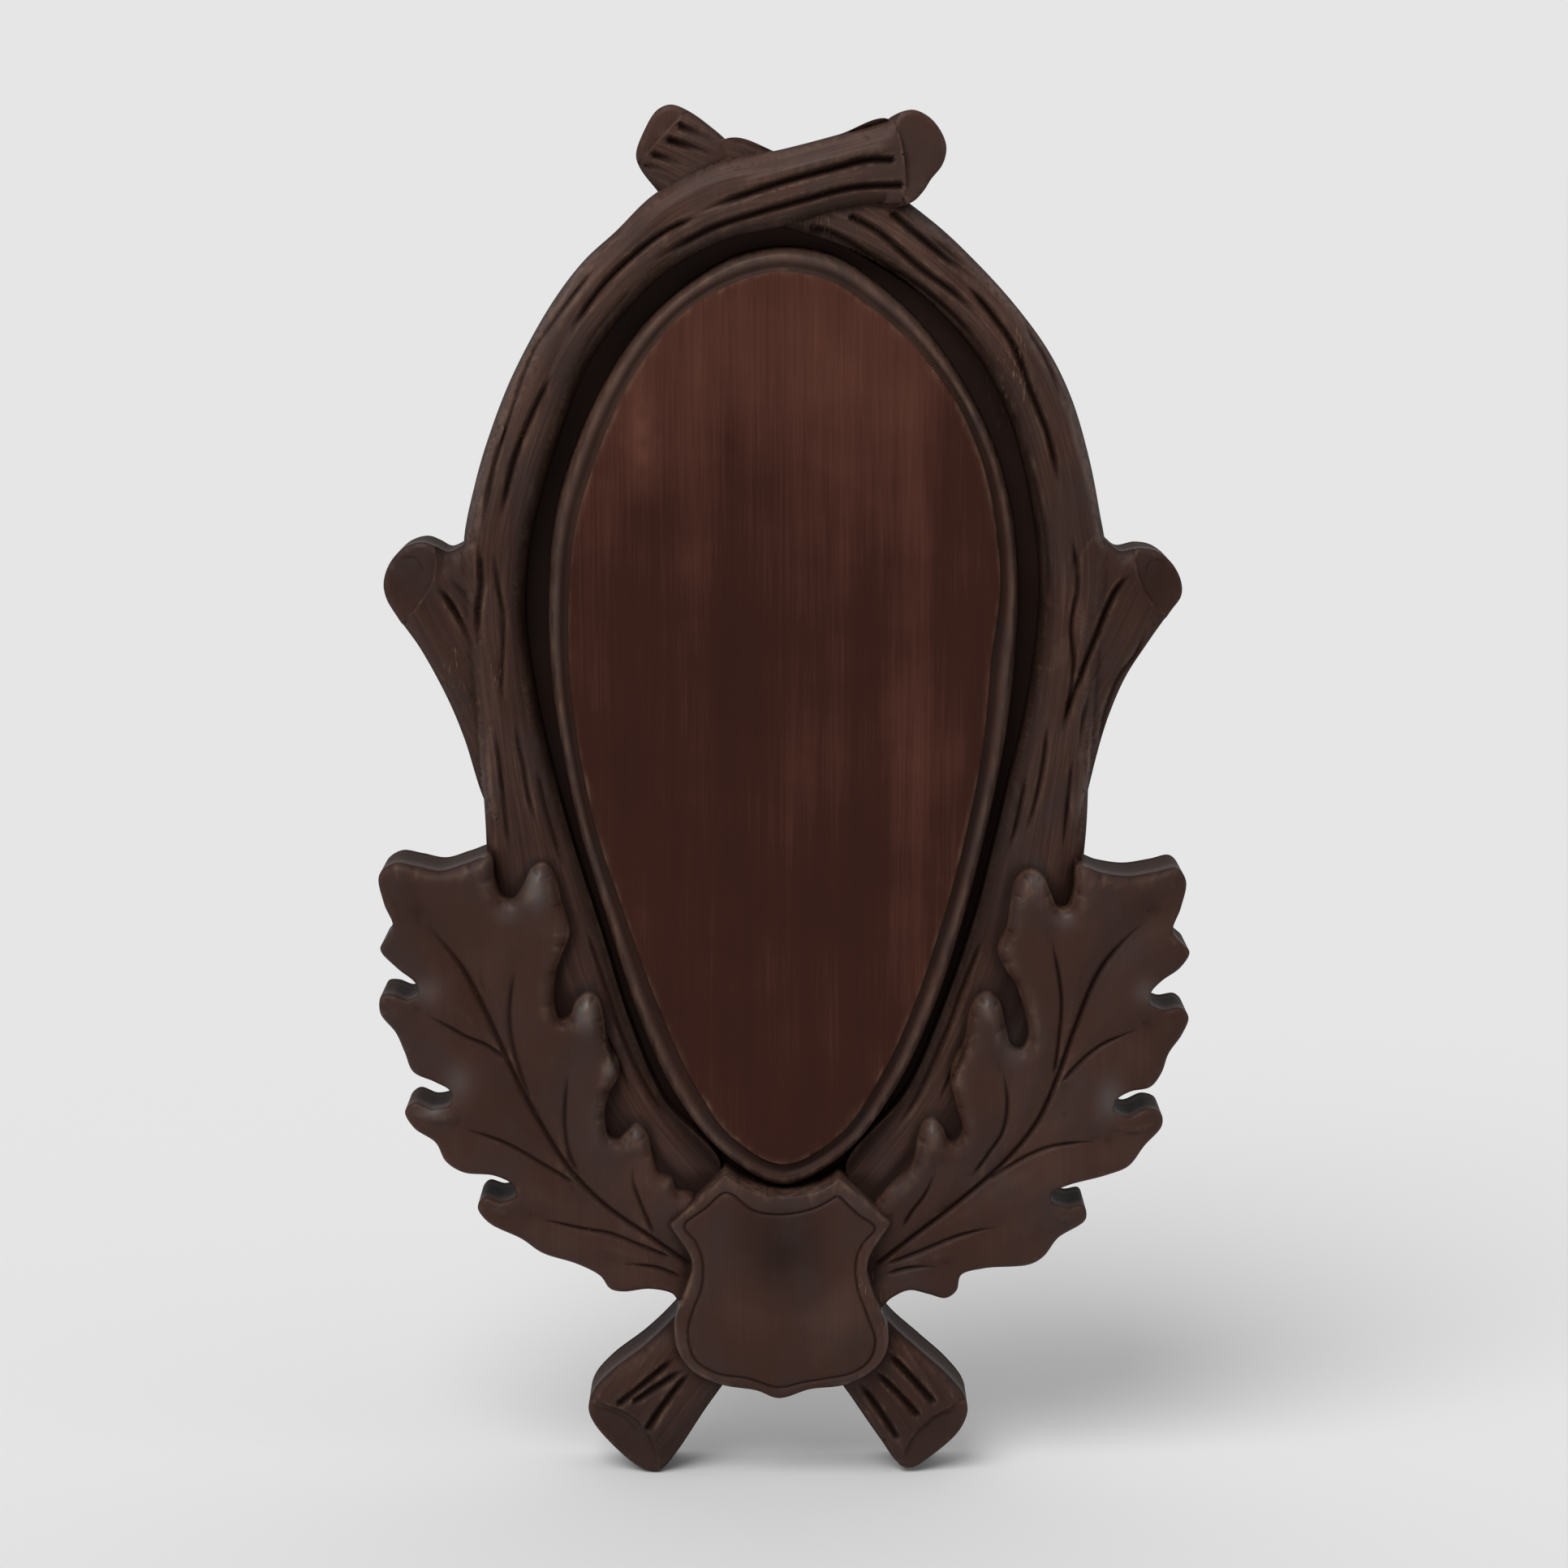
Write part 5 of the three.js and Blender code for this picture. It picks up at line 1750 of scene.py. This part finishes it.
@dataclass(frozen=True)
class StainedLime:
    """Lime wood under a dark walnut stain, waxed to a satin sheen.

    Lime takes stain unevenly: it shows soft upright bands and a fine upright grain, the stain
    gathers nearly black in every hollow, and handling has rubbed it thin on the ridges. Painted
    shade darkens the hollows, the cuts, the groove, the rolls above it and the sides as well, and
    grey highlights are painted on the ridges and the lobe tips. The grain is drawn coarser than the
    pores of lime, which would be too fine to show.

    Colours go from dark to light. A range gives where in its pattern a mark starts, where it is
    full, and how strong it then is. Tones are how much each pattern lightens the wood.
    """

    carved: tuple[str, str, str] = ("#1b110e", "#3e2720", "#664d43")
    flat: tuple[str, str, str] = ("#220d07", "#371910", "#653d31")
    # The dark of pooled stain, used too for painted shade in the hollows, the groove, the rolls and on
    # the sides
    pooled: str = "#180f0b"
    rubbed: str = "#755b49"
    cool: str = "#372d2b"
    # The grey painted on as highlights on the ridges and the lobe tips
    handled: str = "#5b5552"
    grain: Figure = Figure(0.45, 2.0, 24.0, 2.0)
    bands: Figure = Figure(9.0, 30.0, 170.0, 3.0)
    clouds: Figure = Figure(26.0, 26.0, 26.0, 3.0)
    patches: Figure = Figure(11.0, 11.0, 16.0, 3.0)
    wear: Figure = Figure(2.2, 2.2, 7.0, 3.0)
    flecks: Figure = Figure(0.5, 2.0, 3.2, 1.0)
    coarseness: float = 0.55
    streak_width: float = 0.6
    streak_length: float = 24.0
    base_tone: float = -0.05
    streak_tone: float = 0.6
    grain_tone: float = 0.26
    band_tone: float = 0.38
    cloud_tone: float = 0.4
    carved_figure: float = 0.35
    carved_level: float = 0.23
    patch_range: Three = (0.44, 0.66, 0.5)
    wear_range: Three = (0.4, 0.75, 0.5)
    fleck_range: Three = (0.62, 0.7, 1.0)
    # Painted shade on the sides and the back
    side_range: Three = (1.0, 0.7, 0.6)
    # How much of the painted grey highlight goes on
    greying: float = 0.75
    roughness: float = 0.4
    grain_roughness: float = 0.14
    handled_roughness: float = -0.08
    pooled_roughness: float = 0.2
    specular: float = 0.12
    polish: float = 0.3
    pooled_gloss: float = 0.35
    bump_strength: float = 0.4
    bump_depth: float = 0.06

    def figures(self, graph: Graph) -> list[Socket]:
        """The wood's patterns, from 0 to 1, in the order of the fields.

        Args:
            graph: The material's graph.

        Returns:
            One value for each pattern.
        """
        spot = graph.add("ShaderNodeTexCoord", out="Object")
        made = []
        for figure in (self.grain, self.bands, self.clouds, self.patches, self.wear, self.flecks):
            sizes = tuple(1 / (MM * size) for size in (figure.across, figure.into, figure.upwards))
            scaled = graph.add(VECTOR_MATH, {0: spot, 1: sizes}, operation="MULTIPLY")
            made.append(graph.add(NOISE, {
                "Vector": scaled, "Scale": 1.0, "Detail": figure.detail, "Roughness": self.coarseness,
            }))
        return made

    def material(self) -> bpy.types.Material:
        """The node material.

        Returns:
            The material.
        """
        made = bpy.data.materials.new("stained_lime_wood")
        made.use_nodes = True
        made.node_tree.nodes.clear()
        graph = Graph(made.node_tree)
        add, layered = graph.add, graph.layered
        # The hollows carry pooled stain with painted shade, and the high places painted grey highlights
        recess, rub, cut, tone, flat, high, scuff, carve, along, across, bark = (
            add("ShaderNodeAttribute", attribute_name=name, out="Fac") for name in (
                "recess", "rub", "cut", "tone", "flat", "high", "scuff", "carve", "along",
                "across", "bark",
            )
        )
        grain, bands, clouds, patches, wear, flecks = self.figures(graph)

        # How light the bare wood is: fully figured on the field, more even where it is carved
        spot = add(VECTOR, {
            "X": add(MATH, {0: across, 1: self.streak_width}, operation="DIVIDE"),
            "Y": add(MATH, {0: along, 1: self.streak_length}, operation="DIVIDE"),
        })
        streaks = add(NOISE, {
            "Vector": spot, "Scale": 1.0, "Detail": 2.0, "Roughness": self.coarseness,
        })
        streaks = add(MATH, {0: streaks, 1: 0.5}, operation="SUBTRACT")
        streaks = add(MATH, {0: streaks, 1: bark}, operation="MULTIPLY")
        figured = layered(0.0, ((bands, self.band_tone), (grain, self.grain_tone)))
        evened = layered(self.carved_level, ((figured, self.carved_figure),))
        upright = add(MIX, {0: flat, 2: evened, 3: figured})
        value = layered(self.base_tone, (
            (tone, 1.0), (streaks, self.streak_tone), (upright, 1.0), (clouds, self.cloud_tone),
        ))
        ramps = []
        for colours in (self.carved, self.flat):
            dark, middle, light = (linear(colour) for colour in colours)
            to_middle = add(RANGE, {"Value": value, "From Max": 0.5})
            to_light = add(RANGE, {"Value": value, "From Min": 0.5})
            lower = add(MIX, {0: to_middle, 6: dark, 7: middle}, 2, data_type="RGBA")
            ramps.append(add(MIX, {0: to_light, 6: lower, 7: light}, 2, data_type="RGBA"))
        wood = add(MIX, {0: flat, 6: ramps[0], 7: ramps[1]}, 2, data_type="RGBA")

        # Cool patches, painted grey highlights, pooled stain with painted shade, and bare wood, one over
        # the other
        # The last range paints shade on the sides and the back
        patches, wear, flecks, side = (
            add(RANGE, {"Value": value, "From Min": start, "From Max": full, "To Max": strength})
            for value, (start, full, strength) in (
                (patches, self.patch_range), (wear, self.wear_range), (flecks, self.fleck_range),
                (carve, self.side_range),
            )
        )
        # The painted grey highlight follows the high places
        painted_sheen, worn, flecked = (
            add(MATH, {0: value, 1: share}, operation="MULTIPLY", use_clamp=True)
            for value, share in ((high, self.greying), (wear, rub), (flecks, scuff))
        )
        patches, painted_sheen = (add(MIX, {0: flat, 2: share, 3: 0.0}) for share in (patches, painted_sheen))
        cut = add(MATH, {0: cut, 1: carve}, operation="MULTIPLY")
        # Pooled stain and painted shade together: hollows, cuts, the groove, the rolls and the sides
        pooled = add(MATH, {0: recess, 1: cut}, operation="MAXIMUM", use_clamp=True)
        pooled = add(MATH, {0: pooled, 1: side}, operation="MAXIMUM")
        bare = add(MATH, {0: worn, 1: flecked}, operation="MAXIMUM")
        for share, colour in (
            (patches, self.cool), (painted_sheen, self.handled), (pooled, self.pooled), (bare, self.rubbed),
        ):
            wood = add(MIX, {0: share, 6: wood, 7: linear(colour)}, 2, data_type="RGBA")

        # The wax shines most on the ridges and where grey highlights are painted, and the sides and the
        # back are matt
        gloss = layered(self.specular, ((high, self.polish),))
        dulled = add(RANGE, {"Value": pooled, "To Min": 1.0, "To Max": self.pooled_gloss})
        for factor in (dulled, carve):
            gloss = add(MATH, {0: gloss, 1: factor}, operation="MULTIPLY")
        rough = layered(self.roughness, (
            (grain, self.grain_roughness), (high, self.handled_roughness),
            (pooled, self.pooled_roughness),
        ))
        relief = add(MATH, {0: clouds, 1: grain}, operation="ADD")
        bump = add("ShaderNodeBump", {
            "Height": relief, "Strength": self.bump_strength, "Distance": self.bump_depth * MM,
        })
        surface = add("ShaderNodeBsdfPrincipled", {
            "Base Color": wood, "Roughness": rough, "Normal": bump, "Specular IOR Level": gloss,
        })
        add("ShaderNodeOutputMaterial", {"Surface": surface})
        return made


# The plaque


def placed(name: str, data: bpy.types.ID) -> bpy.types.Object:
    """A new object in the scene.

    Args:
        name: The object's name.
        data: Its mesh, light or camera.

    Returns:
        The object.
    """
    made = bpy.data.objects.new(name, data)
    bpy.context.scene.collection.objects.link(made)
    return made


@dataclass(frozen=True)
class HollowDarkening:
    """Stain that has gathered where the wood lies below its surroundings, with painted shade there too.

    The rounds are those that even the surroundings out further than the one before does. The
    darkening deepens from a drop of `low` millimetres to one of `high`, and comes up to its amount.
    """

    rounds: int
    low: float
    high: float
    amount: float


@dataclass(frozen=True)
class Tooling:
    """Soft ridges left by many small strokes, with sizes in millimetres."""

    mask: str
    spacing: float
    length: float
    depth: float
    seed: float


@dataclass
class Plaque:
    """The whole plaque, carved and finished.

    The tones and scuffs are the places where the wood is lighter or darker and is flecked, and the
    painted highlights are where grey highlights are painted on. The pairs say between which two
    measures, in millimetres, a mark comes in.
    """

    finish: StainedLime
    tooling: Sequence[Tooling] = (
        Tooling("bark", 2.6, 44.0, 0.55, 3.0),
        Tooling("bark", 1.3, 30.0, 0.22, 11.0),
        Tooling("knife", 5.0, 12.0, 0.3, 7.0),
    )
    tones: Sequence[Swell] = (
        Swell(0, 102, 50, 0.26, 0.75), Swell(29.5, 25, 5, 0.14, 12), Swell(-30.5, 78, 2.2, 0.3, 5),
        Swell(0, -104, 9, -0.3, 1.2), Swell(-10, -118, 8, 0.12), Swell(10, -120, 8, 0.12),
        Swell(-82, 46, 7, -0.25), Swell(82, 46, 7, -0.2), Swell(-32, -146, 12, -0.2),
        Swell(30, -146, 12, -0.12),
    )
    scuffs: Sequence[Swell] = (
        Swell(-71.5, 29, 2.4, 0.9, 2.4), Swell(-67.5, 20, 1.6, 0.6, 2), Swell(12, 122.5, 8, 0.7, 0.25),
        Swell(65.5, -16, 2.5, 1.0, 0.4), Swell(-62.5, 25, 1.6, 0.7, 4), Swell(50, 92, 4, 0.7, 2.5),
        Swell(18, -110, 1.6, 0.9, 4), Swell(22.5, -118, 1.3, 0.9, 3), Swell(-22, -126, 1.5, 0.8, 2),
    )
    # Grey highlights painted on the lobe tips
    shines: Sequence[Swell] = (
        Swell(-54.6, -21.5, 2.4, 0.8, 1.7), Swell(-43.8, -49.5, 2.2, 0.85, 1.8),
        Swell(-38.6, -62.5, 1.3, 0.8, 1.3), Swell(-32.6, -77, 1.3, 0.45, 1.2),
        Swell(-72, -65.5, 3, 0.4, 1.3), Swell(-78.5, -45, 2.8, 0.35), Swell(-78, -73, 3.6, 0.5, 0.35),
        Swell(-61, -27.5, 2.6, 0.3, 0.8), Swell(56, -19.5, 1.6, 0.6, 1.8), Swell(45, -48, 1.8, 0.45, 1.8),
        Swell(33.5, -76, 1.6, 0.6, 1.4), Swell(72.5, -69.5, 3, 0.55, 1.4),
        Swell(51.5, -57, 2.4, 0.5, 1.6), Swell(80, -45, 2.8, 0.4), Swell(62, -29, 2.4, 0.35, 0.8),
    )
    # Pooled stain with painted shade where the wood lies below its surroundings
    settlings: Sequence[HollowDarkening] = (
        HollowDarkening(6, 0.03, 0.2, 0.45), HollowDarkening(39, 0.1, 1.6, 0.62), HollowDarkening(110, 0.6, 3.5, 0.55),
    )
    groove_height: Pair = (-13.5, -9.5)
    groove_reach: Pair = (-9.0, -7.0)
    # How dark the shade painted on the floor of the groove becomes
    groove_stain: float = 0.7
    ridge_rub: Pair = (0.06, 0.34)
    # The painted grey sheen and the gloss on the ridges
    ridge_shine: Pair = (0.25, 1.6)
    ridge_polish: float = 0.12
    seam: Pair = (0.1, 1.8)
    field_slack: float = 0.2
    stroke_step: float = 0.1
    first_bite: float = 0.2
    sharp: float = math.radians(50)
    relief: Relief = field(init=False)

    def __post_init__(self) -> None:
        """Sets out the forms."""
        self.relief = Relief(carved_forms(), ALL_STROKES)

    def build(self, limits: Array) -> bpy.types.Object:
        """Carves, closes and finishes the plaque.

        Args:
            limits: The least and greatest plan place that the wood may reach, in millimetres.

        Returns:
            The finished object, in metres.
        """
        plan = self.relief.plan_mesh()
        reading = self.relief.read(plan.spots)
        places, faces, over, carve = Shell(plan, reading.heights, limits).build()
        log.info("shell: %d places, %d faces", len(places), len(faces))
        mesh = bpy.data.meshes.new("carved_plaque_wood")
        mesh.from_pydata(places.tolist(), [], faces)
        blank = placed(mesh.name, mesh)
        marks = {"carve": carve, "cut": np.zeros(len(places))}
        for name, values in self.lay(plan, reading).items():
            marks[name] = values[over]
        for name, values in marks.items():
            self.store(mesh, name, values)
        material = self.finish.material()
        helpers = self.add_tools(blank, material)
        graph = bpy.context.evaluated_depsgraph_get()
        carved = bpy.data.meshes.new_from_object(
            blank.evaluated_get(graph), preserve_all_data_layers=True, depsgraph=graph,
        )
        blank.modifiers.clear()
        blank.data = carved
        bpy.data.meshes.remove(mesh)
        carved.name = "carved_plaque_wood"
        for helper in helpers:
            bpy.data.meshes.remove(helper.data)
        self.dress(blank, plan, reading.owner, over)
        return blank

    def lay(self, plan: PlanMesh, reading: Reading) -> dict[str, Array]:
        """How the tool marks lie over the front. They fade where two forms meet.

        Args:
            plan: The front's plan mesh.
            reading: The carving at its spots.

        Returns:
            One value for each spot, by the mark's name.
        """
        marks = {name: np.zeros(len(reading.owner)) for name in ("along", "across", "bark", "knife")}
        for number, form in enumerate(self.relief.forms):
            mine = reading.owner == number
            log.info("%s: shows at %d spots", form.name, mine.sum())
            if mine.any():
                for name, values in zip(marks, form.lay(plan.spots[mine])):
                    marks[name][mine] = values
        alone = smooth(reading.lead, *self.seam)
        marks["bark"] *= alone
        marks["knife"] *= alone
        return marks

    @staticmethod
    def store(mesh: bpy.types.Mesh, name: str, values: Array) -> None:
        """Stores one number for each corner of the mesh under a name."""
        layer = mesh.attributes.get(name) or mesh.attributes.new(name, "FLOAT", "POINT")
        layer.data.foreach_set("value", values.astype(np.float32))

    def add_tools(self, piece: bpy.types.Object, material: bpy.types.Material) -> list[bpy.types.Object]:
        """Adds the trees that cut the strokes and leave the tool marks.

        Args:
            piece: The blank that is carved.
            material: Its finish.

        Returns:
            The helper objects that hold the strokes.
        """
        tooling, gouge, helpers = tooling_tree(), gouge_tree(), []
        for marks in self.tooling:
            apply_tree(piece, tooling, marks, Finish=material)
        for strokes in self.relief.strokes:
            helpers.append(self.stroke_object(strokes))
            apply_tree(piece, gouge, strokes, Strokes=helpers[-1], Finish=material)
        return helpers

    def stroke_object(self, strokes: Strokes) -> bpy.types.Object:
        """The strokes as lines in the plane of the back, with how deep each spot is cut.

        Args:
            strokes: The strokes of one kind.

        Returns:
            The object that holds them.
        """
        places, edges, bites = [], [], []
        for path in strokes.paths:
            line = Line(path).even(self.stroke_step)
            run = self.stroke_step * np.arange(len(line))
            bite = smooth(run + self.first_bite, 0, strokes.run_in)
            bite = bite * smooth(run[-1] - run + self.first_bite, 0, strokes.run_out)
            start = len(places)
            places += [(x * MM, 0.0, z * MM) for x, z in line]
            edges += [(start + k, start + k + 1) for k in range(len(line) - 1)]
            bites.append(bite)
        mesh = bpy.data.meshes.new(f"strokes_{strokes.name}")
        mesh.from_pydata(places, edges, [])
        self.store(mesh, "bite", np.concatenate(bites))
        return placed(mesh.name, mesh)

    def dress(self, piece: bpy.types.Object, plan: PlanMesh, owner: Array, over: Array) -> None:
        """Works out where the stain pools and shade is painted, where grey highlights are painted and
        where the stain is rubbed thin, and shades the piece.

        Args:
            piece: The carved object.
            plan: The front's plan mesh.
            owner: The number of the form that shows at each of its spots.
            over: The front spot that each corner of the object stands over.
        """
        mesh, spots = piece.data, plan.spots
        places = np.empty(3 * len(mesh.vertices), np.float32)
        mesh.vertices.foreach_get("co", places)
        heights = -places.reshape(-1, 3)[:len(owner), 1] / MM
        pairs = linked(plan.faces)
        evened, darkened = [heights], []
        # Pooled stain with painted shade where the wood lies below its surroundings
        for darkening in self.settlings:
            evened.append(blurred(evened[-1], pairs, darkening.rounds))
            drop = smooth(evened[-1] - heights, darkening.low, darkening.high)
            darkened.append(darkening.amount * drop)
        # Painted shade on the floor of the groove round the field
        foot = Line(egg_of(FOOT_TOP, FOOT_BOTTOM, FOOT_ROWS), True).even(MEASURE_STEP)
        from_groove = nearness(spots, foot, True).distance
        groove = smooth(-heights, *self.groove_height) * smooth(-from_groove, *self.groove_reach)
        # Painted shade on the roll of each branch above the groove
        roll, flat = np.zeros((2, len(owner)))
        for number, form in enumerate(self.relief.forms):
            mine = owner == number
            roll[mine] = form.pooled(spots[mine])
            flat[mine] = form.region == Region.FIELD
        rub = smooth(heights - evened[1], *self.ridge_rub) * (1 - roll)
        # Painted grey sheen on the ridges, and below it the grey highlights painted on the lobe tips
        ridges = self.ridge_polish * smooth(heights - evened[2], *self.ridge_shine)
        marks = {
            # The hollows hold pooled stain with painted shade
            "recess": np.maximum.reduce([*darkened, roll, self.groove_stain * groove]), "rub": rub,
            "high": np.maximum(ridges, sum_of(self.shines, spots)),
            "flat": flat * (heights > FIELD_HEIGHT - self.field_slack),
            "scuff": sum_of(self.scuffs, spots), "tone": sum_of(self.tones, spots),
        }
        on_front = np.arange(len(over)) < len(owner)
        for name, values in marks.items():
            self.store(mesh, name, values[over] * on_front)
        mesh.attributes.remove(mesh.attributes["knife"])
        mesh.shade_smooth()
        mesh.set_sharp_from_angle(angle=self.sharp)
        self.sharpen(mesh, plan.rim)

    @staticmethod
    def sharpen(mesh: bpy.types.Mesh, steps: Array) -> None:
        """Makes the edges between the given pairs of corners sharp as well.

        Args:
            mesh: The carved mesh.
            steps: The pairs of corners.
        """
        ends = np.empty(2 * len(mesh.edges), np.int32)
        mesh.edges.foreach_get("vertices", ends)
        scale = np.asarray([len(mesh.vertices), 1])
        chosen = np.isin(np.sort(ends.reshape(-1, 2), axis=1) @ scale, np.sort(steps, axis=1) @ scale)
        sharp = np.empty(len(mesh.edges), bool)
        mesh.edges.foreach_get("use_edge_sharp", sharp)
        mesh.edges.foreach_set("use_edge_sharp", sharp | chosen)


# The studio


@dataclass(frozen=True)
class Studio:
    """A pale floor and soft light from above, with the camera at the photograph's angle."""

    pale: float = 0.79
    front: float = 0.15
    floor_colour: str = "#d7d7d7"
    floor_roughness: float = 0.9
    floor_half: float = 30.0
    floor_level: float = -0.157
    dimming: Pair = (-0.9, -0.1)
    sun_strength: float = 2.0
    sun_width: float = 40.0
    sun_from: Pair = (-30.0, 52.0)
    target: Three = (0.00018, -0.012, 0.00036)
    distance: float = 0.85
    elevation: float = 9.5
    lens: float = 88.7

    def build(self) -> None:
        """Sets up the floor, the light and the camera."""
        self.add_world()
        self.add_sun()
        self.add_floor()
        self.add_camera()
        bpy.context.scene.view_settings.view_transform = "Standard"

    def add_world(self) -> None:
        """A pale room that is dimmer on the camera's side."""
        world = bpy.data.worlds.new("studio")
        world.use_nodes = True
        world.node_tree.nodes.clear()
        add = Graph(world.node_tree).add
        way = add("ShaderNodeTexCoord", out="Generated")
        towards = add("ShaderNodeSeparateXYZ", {0: way}, "Y")
        level = add(RANGE, {
            "Value": towards, "From Min": self.dimming[0], "From Max": self.dimming[1],
            "To Min": self.front, "To Max": self.pale,
        }, interpolation_type="SMOOTHSTEP")
        grey = add("ShaderNodeBackground", {"Color": level})
        add("ShaderNodeOutputWorld", {"Surface": grey})
        bpy.context.scene.world = world

    def add_sun(self) -> None:
        """A wide soft light from above and a little to the left."""
        light = bpy.data.lights.new("overhead", "SUN")
        light.energy = self.sun_strength
        light.angle = math.radians(self.sun_width)
        side, height = (math.radians(angle) for angle in self.sun_from)
        way = Vector((
            math.sin(side) * math.cos(height), -math.cos(side) * math.cos(height), math.sin(height),
        ))
        placed("overhead", light).rotation_euler = way.to_track_quat("Z", "Y").to_euler()

    def add_floor(self) -> None:
        """The pale floor that the plaque stands on."""
        mesh = bpy.data.meshes.new("floor")
        corners = [
            (x * self.floor_half, y * self.floor_half, self.floor_level)
            for x, y in ((-1, -1), (1, -1), (1, 1), (-1, 1))
        ]
        mesh.from_pydata(corners, [], [(0, 1, 2, 3)])
        paper = bpy.data.materials.new("pale_paper")
        paper.use_nodes = True
        shader = paper.node_tree.nodes["Principled BSDF"]
        shader.inputs["Base Color"].default_value = linear(self.floor_colour)
        shader.inputs["Roughness"].default_value = self.floor_roughness
        shader.inputs["Specular IOR Level"].default_value = 0.0
        mesh.materials.append(paper)
        floor = placed("floor", mesh)

    def add_camera(self) -> None:
        """The camera, in front and a little above."""
        lens = bpy.data.cameras.new("camera")
        lens.lens = self.lens
        lens.clip_end = 100
        tilt = math.radians(self.elevation)
        camera = placed("camera", lens)
        camera.location = Vector(self.target) + self.distance * Vector(
            (0, -math.cos(tilt), math.sin(tilt)),
        )
        camera.rotation_euler = (math.radians(90) - tilt, 0, 0)
        bpy.context.scene.camera = camera


def plain(bounds: Sequence) -> list[list[float]]:
    """Bounds as plain lists of numbers."""
    return [[float(value) for value in corner] for corner in bounds]


def main() -> None:
    """Builds the plaque in its studio and reports each step."""
    logging.basicConfig(level=logging.INFO, format="%(name)s: %(message)s")
    limits = np.asarray(plain(SOLID_BOUNDS))[:, (0, 2)] / MM
    piece = Plaque(StainedLime()).build(limits)
    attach(piece, "root")
    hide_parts("carved_plaque")
    count = sum(len(face.vertices) - 2 for face in piece.data.polygons)
    log.info("%s: %d triangles", piece.name, count)
    Studio().build()
    log.info("studio ready")


if __name__ == "__main__":
    main()
